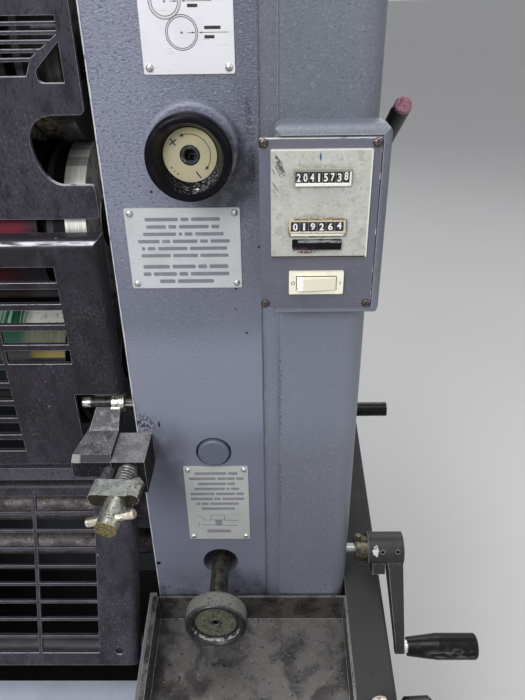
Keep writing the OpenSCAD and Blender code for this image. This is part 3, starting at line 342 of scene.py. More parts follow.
class Finish:
    """A material under construction, from a base colour through stains, wear and relief."""

    def __init__(self, name, color, roughness=0.5, metallic=0.0, specular=0.5, coat=0.0):
        self.material = bpy.data.materials.new(FINISH_PREFIX + name)
        self.material.use_nodes = True
        self.tree = self.material.node_tree
        self.shader = self.tree.nodes["Principled BSDF"]
        self.shader.inputs["Metallic"].default_value = metallic
        self.shader.inputs["Roughness"].default_value = roughness
        self.shader.inputs["Specular IOR Level"].default_value = specular
        self.shader.inputs["Coat Weight"].default_value = coat
        self.shader.inputs["Base Color"].default_value = tone(color)
        self.place = self.add("ShaderNodeTexCoord").outputs["Object"]
        self.color = tone(color)
        self.roughness = roughness
        self.metallic = metallic
        self.relief = None

    def add(self, kind, inputs=None, **settings):
        """A new node of this material."""
        return add_node(self.tree, kind, inputs, **settings)

    def moved(self, centre=(0, 0, 0), scale=(1, 1, 1), turn=(0, 0, 0)):
        """Object coordinates about a centre, turned and stretched."""
        inputs = {"Vector": self.place, "Location": centre, "Rotation": turn, "Scale": scale}
        return self.add("ShaderNodeMapping", inputs, vector_type="TEXTURE").outputs[0]

    def noise(self, size, detail=3.0, stretch=(1, 1, 1), warp=0.0):
        """Cloudy pattern from 0 to 1 whose blots are about `size` across."""
        where = self.place if stretch == (1, 1, 1) else self.moved(scale=stretch)
        inputs = {"Vector": where, "Scale": 1 / size, "Detail": detail, "Distortion": warp}
        return self.add("ShaderNodeTexNoise", inputs).outputs[0]

    def cells(self, size, output="Distance", stretch=(1, 1, 1)):
        """Cell pattern: distance from each cell's point, or its random colour."""
        where = self.place if stretch == (1, 1, 1) else self.moved(scale=stretch)
        return self.add("ShaderNodeTexVoronoi", {"Vector": where, "Scale": 1 / size}).outputs[output]

    def axis(self, name):
        """One Object coordinate, or with a minus sign its size without sign."""
        split = self.add("ShaderNodeSeparateXYZ", {0: self.place}).outputs[name[-1]]
        return self.sum("ABSOLUTE", split) if name[0] == "-" else split

    def sum(self, operation, first, second=0.0):
        """One Math node."""
        return self.add("ShaderNodeMath", {0: first, 1: second}, operation=operation).outputs[0]

    def both(self, *masks):
        """Product of several masks."""
        result = masks[0]
        for mask in masks[1:]:
            result = self.sum("MULTIPLY", result, mask)
        return result

    def either(self, *masks):
        """Largest of several masks."""
        result = masks[0]
        for mask in masks[1:]:
            result = self.sum("MAXIMUM", result, mask)
        return result

    def step(self, value, low, high, strength=1.0):
        """Smooth rise of a value or named axis from 0 at low to `strength` at high, either way round."""
        value = self.axis(value) if isinstance(value, str) else value
        inputs = {"Value": value, "From Min": low, "From Max": high, "To Min": 0.0, "To Max": strength}
        return self.add("ShaderNodeMapRange", inputs, interpolation_type="SMOOTHSTEP").outputs[0]

    def beside(self, value, place, first, last, strength=1.0):
        """Smooth rise of a value or named axis from `first` to `last` millimetres beyond a place."""
        return self.step(value, place + first * MM, place + last * MM, strength)

    def span(self, value, low, high, soft, strength=1.0):
        """1 where a value or named axis lies between low and high, with soft ends."""
        return self.both(self.step(value, low - soft, low), self.step(value, high + soft, high, strength))

    def along(self, origin, direction):
        """Distance along a direction from an origin, the same on both sides of the press."""
        split = self.add("ShaderNodeSeparateXYZ", {0: self.place}).outputs
        inputs = {"X": self.sum("ABSOLUTE", split["X"]), "Y": split["Y"], "Z": split["Z"]}
        where = self.add("ShaderNodeCombineXYZ", inputs).outputs[0]
        offset = self.add(
            "ShaderNodeVectorMath", {0: where, 1: tuple(origin)}, operation="SUBTRACT",
        ).outputs[0]
        inputs = {0: offset, 1: tuple(direction)}
        return self.add("ShaderNodeVectorMath", inputs, operation="DOT_PRODUCT").outputs["Value"]

    def facing(self, name):
        """One coordinate of the surface's own normal, which turns with a moving piece."""
        normal = self.add("ShaderNodeTexCoord").outputs["Normal"]
        return self.add("ShaderNodeSeparateXYZ", {0: normal}).outputs[name]

    def upper_edges(self, radius):
        """1 beside edges that turn upward: where a normal rounded over `radius` rises above the true one."""
        soft = self.add("ShaderNodeBevel", {"Radius": radius}, samples=4).outputs[0]
        own = self.add("ShaderNodeVectorTransform", {0: soft}, vector_type="NORMAL",
                       convert_from="WORLD", convert_to="OBJECT").outputs[0]
        rise = self.add("ShaderNodeSeparateXYZ", {0: own}).outputs["Z"]
        return self.step(self.sum("SUBTRACT", rise, self.facing("Z")), 0.12, 0.3)

    def near(self, centre, radii, soft=0.5):
        """1 inside an ellipsoid, falling to 0 at its surface over the share `soft`."""
        where = self.moved(centre, tuple(np.broadcast_to(radii, 3).tolist()))
        length = self.add("ShaderNodeVectorMath", {0: where}, operation="LENGTH").outputs["Value"]
        return self.step(length, 1.0, 1.0 - soft)

    def spot(self, place, width, height, soft=0.5):
        """1 about an (x, z) place on a front face, its half width and half height in millimetres."""
        return self.near((place[0], 0, place[1]), (width * MM, 0.3, height * MM), soft)

    def stroke(self, start, end, width, soft=0.4):
        """1 along a line between two (x, z) points on a front face, as a long thin ellipsoid."""
        start, end = np.array(start), np.array(end)
        mid = (start + end) / 2
        length = np.linalg.norm(end - start) / 2 + width
        turn = -math.atan2(end[1] - start[1], end[0] - start[0])
        where = self.moved((mid[0], 0, mid[1]), (length, 10.0, width), (0, turn, 0))
        far = self.add("ShaderNodeVectorMath", {0: where}, operation="LENGTH").outputs["Value"]
        return self.step(far, 1.0, 1.0 - soft)

    def edges(self, radius, low=0.004, high=0.12):
        """1 on sharp edges: where a normal rounded over `radius` leaves the true one."""
        soft = self.add("ShaderNodeBevel", {"Radius": radius}, samples=4).outputs[0]
        true = self.add("ShaderNodeNewGeometry").outputs["Normal"]
        match = self.add(
            "ShaderNodeVectorMath", {0: soft, 1: true}, operation="DOT_PRODUCT",
        ).outputs["Value"]
        return self.step(match, 1 - low, 1 - high)

    def paint(self, mask, color, roughness=None, metallic=None):
        """Lays a colour, and where given a roughness and a metal share, over what is there."""
        inputs = {0: mask, 6: self.color, 7: tone(color)}
        self.color = self.add("ShaderNodeMix", inputs, data_type="RGBA").outputs[2]
        if roughness is not None:
            self.rough(mask, roughness)
        if metallic is not None:
            self.metallic = self.blend(mask, self.metallic, metallic)
        return self

    def cloud(self, size, low, high, strength=1.0, detail=4, stretch=(1, 1, 1), warp=0.0):
        """Mask of a cloudy pattern whose blots are about `size` millimetres across."""
        return self.step(self.noise(size * MM, detail, stretch, warp), low, high, strength)

    def stain(
        self, size, low, high, color, strength=1.0, detail=4, stretch=(1, 1, 1), warp=0.0, within=None,
    ):
        """Paints the blots of a cloudy pattern, all over or within a mask."""
        mask = self.cloud(size, low, high, strength, detail, stretch, warp)
        return self.paint(mask if within is None else self.both(within, mask), color)

    def worn(self, radius, size, low, high, color, detail=4, roughness=None, metallic=None):
        """Paints edges rounded over `radius` millimetres where a cloudy pattern lets them wear."""
        edge = self.step(self.sum("ADD", self.edges(radius * MM), self.noise(size * MM, detail)), low, high)
        return self.paint(edge, color, roughness, metallic)

    def blend(self, mask, old, new):
        """A number that goes from old to new where the mask is 1."""
        mix = self.add("ShaderNodeMix", {0: mask, 2: old, 3: new}, data_type="FLOAT")
        return mix.outputs[0]

    def rough(self, mask, roughness):
        """Changes the roughness where the mask is 1."""
        self.roughness = self.blend(mask, self.roughness, roughness)
        return self

    def raised(self, height, depth):
        """Adds relief `depth` metres deep from a pattern."""
        inputs = {"Height": height, "Distance": depth, "Strength": 1.0}
        if self.relief is not None:
            inputs["Normal"] = self.relief
        self.relief = self.add("ShaderNodeBump", inputs).outputs[0]
        return self

    def rippled(self, size, depth, detail=3, stretch=(1, 1, 1)):
        """Adds cloudy relief, its size and depth in millimetres."""
        return self.raised(self.noise(size * MM, detail, stretch), depth * MM)

    def done(self):
        """Links what was changed to the shader and gives the material."""
        for key, value in (("Base Color", self.color), ("Roughness", self.roughness),
                           ("Metallic", self.metallic), ("Normal", self.relief)):
            if isinstance(value, bpy.types.NodeSocket):
                self.tree.links.new(value, self.shader.inputs[key])
        return self.material


@listed
def hammertone():
    """Hammered blue-grey paint of the columns: orange-peel relief with painted glints and shade, chips,
    drips, grease, and painted shadows of the knob and the clamp.
    """
    looks = bpy.context.scene.press_looks
    low, high_corner = corners("column_right")
    knob = middle("pressure_knob_right")
    oil_across, oil_down, oil_drop = (0.308, 0.977), (0.298, 0.99), (0.3262, 0.976)
    clamp_shadow_and_grime_place = (0.334, 0.93)
    plain = Finish("hammertone", (*looks.column_color, 1.0), 0.4, specular=0.5)
    side = plain.axis("-X")
    high = plain.axis("Z")
    upper = plain.step(high, 0.95, 1.2)
    plain.stain(160, 0.35, 0.75, (96, 99, 112), 0.5)
    plain.paint(plain.span(high, 0.99, 1.06, 0.05, 0.75), (128, 133, 151))
    plain.paint(
        plain.both(plain.step(side, low[0] + 0.1, low[0] + 0.03), plain.step(high, 1.14, 1.22, 0.55)),
        (130, 134, 154),
    )
    corner = plain.both(plain.beside(side, high_corner[0], -26, -14), plain.step(high, 1.28, 1.31))
    plain.stain(30, 0.2, 0.5, (88, 91, 106), 0.8, within=corner)
    peel = plain.noise(2.1 * MM, 3, stretch=(1.3, 1.3, 0.9), warp=0.7)
    # painted shade in the hollows of the hammered relief
    plain.paint(
        plain.both(plain.step(peel, 0.46, 0.34, 0.7), plain.step(high, 1.0, 1.28, 1.0)), (74, 77, 90),
    )
    # painted glints on the tops of the hammered relief, in the upper part
    plain.paint(plain.both(plain.step(peel, 0.57, 0.7, 0.45), upper), (150, 156, 174))
    # painted shadow of the knob below and right of it, mixed with grease
    grease = plain.spot((knob[0] + 28 * MM, knob[2] - 22 * MM), 47, 62, 0.75)
    knob_shadow_and_grease_smear = plain.both(grease, plain.cloud(9, 0.25, 0.6))
    plain.paint(plain.both(knob_shadow_and_grease_smear, plain.step(side, 0, 0.1, 0.8)), (48, 49, 53)).rough(knob_shadow_and_grease_smear, 0.3)
    core = plain.stroke(
        (knob[0] + 50 * MM, knob[2] + 2 * MM), (knob[0] + 49 * MM, knob[2] - 42 * MM), 4.5 * MM, 0.8,
    )
    above = plain.stroke(
        (knob[0] + 49 * MM, knob[2] + 4 * MM), (knob[0] + 47 * MM, knob[2] + 44 * MM), 6 * MM, 0.9,
    )
    mottle = plain.cloud(2.6, 0.4, 0.58, stretch=(1, 1, 1.6))
    plain.paint(plain.both(plain.either(core, plain.sum("MULTIPLY", above, 0.6)), mottle), (26, 25, 29))
    trickle = plain.stroke(
        (high_corner[0] - 24 * MM, knob[2] - 55 * MM), (high_corner[0] - 22 * MM, knob[2] - 68 * MM),
        1.2 * MM,
    )
    plain.paint(plain.both(trickle, mottle), (30, 30, 36))
    wide = plain.spot(oil_across, 24, 20, 0.9)
    tall = plain.spot(oil_down, 10, 24, 0.8)
    oil = plain.both(plain.cloud(2.8, 0.45, 0.55, stretch=(1, 1, 1.6)), plain.either(wide, tall))
    plain.paint(oil, (34, 34, 38), 0.25)
    # painted shadow of the clamp on the column, with some grime
    grime = plain.spot(clamp_shadow_and_grime_place, 34, 70, 0.9)
    plain.stain(20, 0.2, 0.6, (60, 62, 69), 0.6, within=grime)
    plain.paint(plain.spot(oil_drop, 1.5, 5), (20, 20, 24))
    plain.stain(90, 0.5, 0.56, (28, 28, 32), detail=1, within=plain.step(plain.cells(19 * MM), 0.09, 0.05))
    plug = middle("plug_cap_right")
    plain.paint(plain.near(plug.tolist(), (20 * MM, 12 * MM, 20 * MM), 0.1), (88, 93, 108))
    edge = plain.beside(side, low[0], 4, 0.6)
    chips = plain.step(plain.sum("ADD", edge, plain.noise(7 * MM, 4, stretch=(1, 1, 2.2))), 1.28, 1.36)
    plain.paint(chips, (206, 207, 212), 0.5)
    lower = plain.both(plain.step(high, 0.76, 0.69), plain.step("Y", 0.16, 0.04))
    plain.stain(30, 0.35, 0.65, (52, 52, 55), 0.7, within=lower)
    plain.stain(5, 0.58, 0.66, (22, 22, 25), stretch=(1.6, 1, 1), within=lower)
    plain.raised(plain.both(peel, plain.step(high, 0.5, 1.25, 0.9)), 0.8 * MM)
    plain.rippled(0.9, 0.08, 2)
    return plain.done()


@listed
def cover_paint():
    """Satin grey paint of the covers, with a soft crease, specks and light worn edges."""
    looks = bpy.context.scene.press_looks
    low, _ = corners("cover_right")
    plain = Finish("cover_paint", (*looks.cover_color, 1.0), 0.42, specular=0.45)
    plain.stain(200, 0.4, 0.7, (92, 96, 106), 0.5, 3)
    fine = plain.noise(2.4 * MM, 3, warp=1.0)
    plain.paint(plain.step(fine, 0.57, 0.7, 0.45), (136, 140, 152))
    plain.paint(plain.step(fine, 0.43, 0.32, 0.45), (74, 77, 86))
    plain.paint(plain.span("Z", 1.0, 1.1, 0.08, 0.45), (128, 134, 149))
    specks = plain.both(plain.step(plain.cells(26 * MM), 0.07, 0.04), plain.cloud(120, 0.5, 0.56, detail=1))
    plain.paint(specks, (36, 36, 40))
    side = plain.axis("-X")
    plain.stain(20, 0.3, 0.6, (62, 64, 72), 0.4, within=plain.step(side, low[0] + 7 * MM, low[0]))
    plain.paint(plain.beside(side, low[0], 1.5, 0.9), (36, 38, 45))
    bend = plain.span(side, low[0] + looks.cover_bend - 2 * MM, low[0] + looks.cover_bend + 1 * MM, 1.6 * MM)
    level = plain.axis("Z")
    where = plain.either(plain.span(level, 0.99, 1.05, 0.05), plain.span(level, 0.85, 0.9, 0.05, 0.8))
    dashes = plain.cloud(1.5, 0.48, 0.62, 0.8, 3, stretch=(4, 1, 1))
    plain.paint(plain.both(bend, where, dashes), (40, 40, 46))
    plain.worn(1.4, 6, 1.2, 1.4, (160, 163, 170))
    plain.raised(fine, 0.4 * MM)
    return plain.done()


@listed
def panel_paint():
    """Violet-grey paint of the counter panel: light worn rims and a dusty film."""
    low, high = corners("counter_panel")
    plain = Finish("panel_paint", (95, 96, 108), 0.42, specular=0.45)
    plain.stain(50, 0.4, 0.7, (84, 85, 95), 0.5)
    fine = plain.noise(2.6 * MM, 3)
    plain.paint(plain.step(fine, 0.56, 0.7, 0.15), (134, 136, 150))
    rim = plain.either(
        plain.beside("Z", high[2], -1.3, -0.4),
        plain.beside("X", high[0], -1.1, -0.3, 0.8),
        plain.beside("Z", low[2], 0.9, 0.2, 0.4),
    )
    worn = plain.step(plain.sum("ADD", rim, plain.noise(6 * MM, 5, stretch=(2, 1, 2))), 1.3, 1.42)
    plain.paint(worn, (206, 204, 206))
    plain.raised(fine, 0.25 * MM)
    return plain.done()


@listed
def wall_paint():
    """Worn dark grey paint of the side walls and plinth: scuffs, grime and bare edges."""
    plain = Finish("wall_paint", (46, 46, 47), 0.5, specular=0.25)
    plain.stain(110, 0.4, 0.7, (34, 34, 36), 0.6, 5)
    plain.stain(20, 0.6, 0.75, (68, 68, 70), 0.4, 5, stretch=(1, 2, 1))
    plain.stain(9, 0.62, 0.72, (30, 30, 32), 0.6, 5)
    plain.worn(1.2, 5, 1.25, 1.4, (170, 170, 168), 5, roughness=0.35, metallic=0.6)
    plain.rippled(3, 0.12)
    return plain.done()


@listed
def crank_paint():
    """Chipped dark grey paint over a casting: silver-white chips where hands and tools meet it."""
    low, high = corners("crank_arm")
    plain = Finish("crank_paint", (44, 44, 45), 0.4, specular=0.25)
    plain.stain(20, 0.4, 0.7, (36, 36, 38), 0.6, 5)
    plain.stain(3, 0.6, 0.72, (96, 96, 96), 0.4)
    worn = plain.sum("ADD", plain.edges(1.0 * MM), plain.noise(4 * MM, 5))
    first = plain.near((low[0] + 64 * MM, 0.0, high[2] - 12 * MM), (9 * MM, 0.05, 13 * MM), 0.8)
    second = plain.near((high[0] - 3 * MM, 0.0, high[2] - 18 * MM), (8 * MM, 0.05, 11 * MM), 0.5)
    rubbed = plain.both(plain.either(first, second), plain.noise(3.4 * MM, 5))
    chips = plain.either(plain.step(worn, 1.16, 1.3), plain.step(rubbed, 0.4, 0.46))
    plain.paint(chips, (186, 186, 186), 0.36)
    grip, _ = corners("crank_grip")
    spacer = plain.beside("X", grip[0], -4.3, -4.0)
    plain.paint(spacer, (214, 214, 210), 0.3, 0.7)
    _, cover_high = corners("cover_right")
    collar = plain.span("X", cover_high[0] + 11 * MM, cover_high[0] + 26 * MM, 0.3 * MM)
    plain.paint(collar, (84, 80, 66), 0.34, 0.7)
    plain.stain(5, 0.5, 0.62, (40, 38, 36), 0.8, within=collar)
    shaft = plain.beside("X", cover_high[0], 10.8, 10.5)
    plain.paint(shaft, (132, 132, 130), 0.3, 0.85)
    plain.rippled(2.5, 0.2)
    return plain.done()


@listed
def housing_paint():
    """Satin grey paint of the delivery boxes and rear housings."""
    plain = Finish("housing_paint", (86, 89, 95), 0.46, specular=0.4)
    plain.stain(140, 0.4, 0.7, (70, 72, 78), 0.5)
    plain.stain(12, 0.62, 0.72, (52, 53, 57), 0.5, stretch=(1, 1, 5))
    plain.worn(1.6, 6, 1.25, 1.4, (150, 152, 155))
    plain.rippled(2.4, 0.14)
    return plain.done()


def guard_finish(node, color, lip, bend=0.0):
    """Worn aubergine-black sheet: a painted highlight with wear on the upward edges of its openings, a fine
    film, dust and ink specks.
    """
    low, _ = corners(node)
    plain = Finish(node + "_finish", color, 0.38, specular=0.15)
    plain.stain(60, 0.42, 0.7, (60, 57, 66), 0.35, 5)
    film = plain.cloud(45, 0.4, 0.62, stretch=(1, 1, 1.6))
    grain = plain.cloud(2, 0.5, 0.7, 0.34, 5, stretch=(1, 1, 1.8))
    plain.paint(plain.both(film, grain), (110, 108, 118))
    plain.stain(30, 0.52, 0.7, (84, 82, 92), 0.3, stretch=(1, 1, 2.6))
    plain.stain(2.2, 0.48, 0.3, (20, 19, 23), 0.6, 5, stretch=(1, 1, 1.8))
    plain.stain(14, 0.5, 0.7, (28, 26, 30), 0.6, 5, stretch=(1, 1, 2))
    kind = plain.add("ShaderNodeSeparateColor", {0: plain.cells(13 * MM, "Color")}).outputs
    ragged = plain.sum("ADD", plain.cells(13 * MM), plain.sum("MULTIPLY", plain.noise(1.6 * MM, 3), 0.2))
    dot = plain.step(ragged, 0.15, 0.115)
    plain.paint(plain.both(dot, plain.step(kind["Red"], 0.74, 0.76)), (178, 176, 176))
    plain.paint(plain.both(dot, plain.step(kind["Green"], 0.93, 0.95)), (180, 168, 60))
    plain.paint(plain.both(dot, plain.step(kind["Blue"], 0.94, 0.96)), (180, 70, 100))
    upward = plain.facing("Z")
    if bend:
        # painted highlight along the rolled bend, broken into streaks
        painted_highlight_on_bend = plain.both(
            plain.span(upward, bend - 0.12, bend + 0.06, 0.16),
            plain.cloud(3, 0.3, 0.62, stretch=(7, 1, 1)),
        )
        plain.paint(painted_highlight_on_bend, (206, 205, 214))
    plain.worn(0.8, 6, 1.2, 1.4, (150, 148, 154), 5, roughness=0.3)
    # painted highlight with wear on the upward-facing lips and edges of the openings
    sheet = plain.beside("Y", low[1], 9, 7)
    edge = plain.either(plain.both(sheet, plain.step(upward, 0.55, 0.9)), plain.upper_edges(1.1 * MM))
    rubbed = plain.both(edge, plain.cloud(5, 0.28, 0.48))
    plain.paint(rubbed, lip, 0.3)
    plain.rippled(1.8, 0.14)
    return plain.done()


@listed
def guard_upper_finish():
    """Upper guard, the lightest of the three."""
    return guard_finish("guard_upper", (58, 55, 64), (190, 189, 198))


@listed
def guard_blanket_finish():
    """Middle guard, with a painted highlight along its rolled upper edge."""
    return guard_finish("guard_blanket", (40, 38, 43), (238, 237, 240), 0.62)


@listed
def guard_delivery_finish():
    """Lower guard with its grille."""
    return guard_finish("guard_delivery", (50, 48, 55), (176, 175, 186))


@listed
def guard_rail_finish():
    """Rail between the middle and the lower guard."""
    return guard_finish("guard_rail", (78, 77, 86), (160, 160, 168))


@listed
def tray_steel():
    """Dark oily folded sheet with rubbed, lighter rims."""
    plain = Finish("tray_steel", (84, 82, 80), 0.42, metallic=0.5)
    plain.stain(30, 0.42, 0.62, (46, 44, 42), 0.85, 5, warp=0.6)
    plain.stain(3, 0.58, 0.7, (118, 116, 112), 0.6)
    plain.stain(7, 0.6, 0.7, (24, 23, 24), 0.8, 5)
    plain.rough(plain.cloud(30, 0.4, 0.6), 0.24)
    plain.worn(0.8, 5, 1.0, 1.2, (205, 204, 198), roughness=0.3, metallic=0.7)
    plain.rippled(20, 0.4)
    return plain.done()


@listed
def board_paint():
    """Light blue-grey boards, scuffed along the run of the sheets."""
    plain = Finish("board_paint", (158, 164, 178), 0.4, specular=0.4)
    plain.stain(90, 0.4, 0.7, (136, 142, 156), 0.5, 5)
    plain.stain(3, 0.6, 0.7, (184, 190, 202), 0.4, 3, stretch=(1, 18, 1))
    plain.worn(1.5, 5, 1.2, 1.35, (206, 208, 210))
    return plain.done()


def cylinder_finish(name, color, ring_color, roughness=0.35, ring_metallic=0.5):
    """Body paint between dark grooves, a ground bearer ring at each end and dark journals beyond them."""
    looks = bpy.context.scene.press_looks
    plain = Finish(name, color, roughness, specular=0.12)
    side = plain.axis("-X")
    groove = plain.step(side, looks.body_end - 0.5 * MM, looks.body_end)
    plain.paint(groove, (24, 24, 27), 0.5)
    plain.paint(plain.span(side, looks.body_end + 8 * MM, looks.body_end + 14 * MM, 1 * MM), (70, 70, 76))
    ring = plain.span(side, looks.bearer_start, looks.bearer_end, 0.4 * MM)
    lines = plain.cloud(0.8, 0.4, 0.6, 0.5, 2, stretch=(1, 60, 60))
    bands = plain.cloud(14, 0.5, 0.6, 0.6, 2, stretch=(40, 1, 1))
    plain.paint(ring, ring_color, 0.3, ring_metallic)
    plain.paint(plain.both(ring, lines), (164, 162, 152))
    plain.paint(plain.both(ring, bands), (74, 76, 80))
    plain.rippled(0.9, 0.02, 2, stretch=(1, 40, 40))
    return plain


def across_body(plain):
    """1 on the body of a cylinder, 0 from its grooves outward."""
    looks = bpy.context.scene.press_looks
    return plain.step("-X", looks.body_end - 0.4 * MM, looks.body_end - 1.4 * MM)


@listed
def plate_cylinder_finish():
    """Plate cylinder: near black, which is ink and painted shade, with bearer rings painted dark grey as
    shade, beige where its underside is wiped clean.
    """
    _, high = corners("plate_cylinder")
    # the near black body is ink and painted shade; the dark grey bearer ring is painted shade
    plain = cylinder_finish("plate_cylinder_finish", (38, 36, 38), (66, 66, 68), 0.4, 0.2)
    body = across_body(plain)
    plain.stain(20, 0.5, 0.66, (58, 54, 52), 0.7, stretch=(4, 1, 1), within=body)
    looks = bpy.context.scene.press_looks
    plain.paint(plain.step("-X", looks.bearer_start - 1 * MM, looks.bearer_start, 0.75), (30, 30, 33))
    under = plain.beside("Z", high[2], -130, -142)
    wiped_to, wiped_from = 0.262, 0.236
    wiped = plain.both(under, plain.step("-X", wiped_to, wiped_from), plain.cloud(7, 0.34, 0.6))
    plain.paint(wiped, (136, 128, 110))
    return plain.done()


@listed
def blanket_finish():
    """Rubber blanket: dark red in a band along its front, and near black above and below it, which is ink
    and painted shade.
    """
    _, high = corners("blanket_cylinder")
    plain = cylinder_finish("blanket_finish", (44, 44, 48), (226, 225, 218), 0.42)
    body = across_body(plain)
    level = plain.axis("Z")
    red_end, low_red_end = (0.196, 0.214), (0.21, 0.165)
    # near black above and below the red band: ink and painted shade
    red = plain.both(body, plain.span(level, high[2] - 98 * MM, high[2] - 50 * MM, 12 * MM))
    plain.paint(red, (112, 36, 52))
    plain.paint(plain.both(red, plain.step("-X", *red_end)), (70, 46, 54))
    low_red = plain.both(body, plain.beside(level, high[2], -102, -112), plain.step("-X", *low_red_end))
    plain.paint(plain.both(low_red, plain.noise(20 * MM, 3)), (84, 24, 34))
    plain.stain(12, 0.55, 0.68, (20, 19, 22), 0.6, stretch=(6, 1, 1), within=body)
    return plain.done()


@listed
def impression_finish():
    """Impression cylinder: green ink that thins to bare metal near its ends, an ochre edge, a pale band and
    a white line at one height that are painted highlight, and a dark body above and below that is ink and
    painted shade.
    """
    _, high = corners("impression_cylinder")
    top = high[2]
    bare_end, ochre_end = (0.164, 0.184), (0.176, 0.186)
    # dark base colour above and below the inked band: ink and painted shade
    plain = cylinder_finish("impression_finish", (20, 30, 29), (150, 152, 148), 0.36)
    body = across_body(plain)
    level, side = plain.axis("Z"), plain.axis("-X")
    streaks = plain.noise(3 * MM, 4, stretch=(1, 24, 24))
    inked = plain.both(body, plain.span(level, top - 36 * MM, top - 8.5 * MM, 2 * MM))
    plain.paint(inked, (48, 92, 73))
    # pale band at one height: painted highlight
    plain.paint(
        plain.both(inked, plain.beside(level, top, -22, -19), plain.step(streaks, 0.5, 0.62, 0.8)),
        (178, 206, 186),
    )
    plain.paint(plain.both(inked, plain.step(streaks, 0.46, 0.36, 0.6)), (30, 80, 60))
    bare = plain.both(inked, plain.step(side, *bare_end))
    plain.paint(bare, (136, 138, 118))
    plain.paint(plain.both(bare, plain.step(streaks, 0.44, 0.6, 0.6)), (96, 104, 88))
    # white line at the same height on the bare ends: painted highlight
    plain.paint(plain.both(bare, plain.beside(level, top, -21.5, -19.5)), (236, 238, 230))
    plain.stain(6, 0.52, 0.64, (100, 106, 88), 0.4, within=bare)
    ochre = plain.both(
        body, plain.span(level, top - 46 * MM, top - 40.5 * MM, 1 * MM), plain.step(side, *ochre_end),
    )
    plain.paint(ochre, (158, 138, 62))
    plain.stain(
        10, 0.5, 0.62, (58, 52, 46), 0.6, stretch=(8, 1, 1),
        within=plain.both(body, plain.beside(level, top, -70, -75)),
    )
    return plain.done()


@listed
def roller_steel():
    """Dirty steel shafts and rollers: speckled brown-black deposits, cream spots and a rusty one."""
    plain = Finish("roller_steel", (96, 90, 90), 0.46, metallic=0.3)
    plain.stain(12, 0.42, 0.6, (58, 50, 52), 0.8, 5, stretch=(2, 1, 1))
    plain.stain(2.6, 0.54, 0.64, (28, 26, 30), 0.8)
    plain.stain(3.2, 0.62, 0.7, (168, 152, 146), 0.8)
    plain.stain(16, 0.66, 0.72, (150, 96, 62), 0.7)
    plain.rough(plain.cloud(20, 0.4, 0.65), 0.62)
    plain.rippled(2, 0.12)
    return plain.done()


@listed
def lower_roller_dark():
    """Lowest rollers: nearly black, with darker stains."""
    plain = Finish("lower_roller_dark", (58, 57, 62), 0.5, metallic=0.2)
    plain.stain(14, 0.42, 0.6, (38, 37, 42), 0.8, 5, stretch=(3, 1, 1))
    plain.stain(3, 0.6, 0.7, (20, 20, 23), 0.7)
    plain.rippled(2, 0.12)
    return plain.done()


@listed
def shaft_steel():
    """Clamp shaft: black with grease, with a bright worn button at its inner end and a painted highlight
    line along its side.
    """
    plain = Finish("shaft_steel", (44, 42, 40), 0.4, metallic=0.5)
    plain.stain(5, 0.5, 0.62, (84, 80, 74), 0.8)
    side = plain.axis("-X")
    button_end, line_start = 0.248, 0.284
    button = plain.both(plain.beside(side, button_end, 0.5, -0.5), plain.cloud(5, 0.3, 0.5))
    plain.paint(button, (200, 200, 196), 0.25, 0.7)
    # painted highlight line along the side of the shaft
    line = plain.both(
        plain.beside(side, line_start, -0.5, 0.5),
        plain.span(plain.facing("Z"), -0.3, 0.1, 0.1),
    )
    plain.paint(line, (214, 214, 206), metallic=0.7)
    plain.rippled(2, 0.15, 4)
    return plain.done()


@listed
def clamp_iron():
    """Greasy machined iron: grey film with light specks and dark pits, rusty hollows and rubbed edges."""
    plain = Finish("clamp_iron", (152, 151, 154), 0.4, metallic=0.45, specular=0.1)
    plain.stain(20, 0.42, 0.66, (104, 103, 108), 0.7, 5)
    plain.stain(2.4, 0.56, 0.64, (66, 64, 68), 0.75, 5)
    plain.stain(1.8, 0.6, 0.7, (196, 196, 196), 0.7)
    plain.stain(8, 0.64, 0.76, (112, 80, 50), 0.7, 5)
    plain.rough(plain.cloud(10, 0.45, 0.7), 0.56)
    shaded = plain.step(plain.facing("Z"), 0.7, 0.4)
    plain.paint(shaded, (24, 23, 25), metallic=0.0)
    plain.stain(3, 0.58, 0.68, (58, 56, 58), within=shaded)
    plain.worn(0.6, 4, 1.16, 1.34, (196, 192, 180), 5, roughness=0.25)
    plain.rippled(2, 0.3, 4)
    return plain.done()


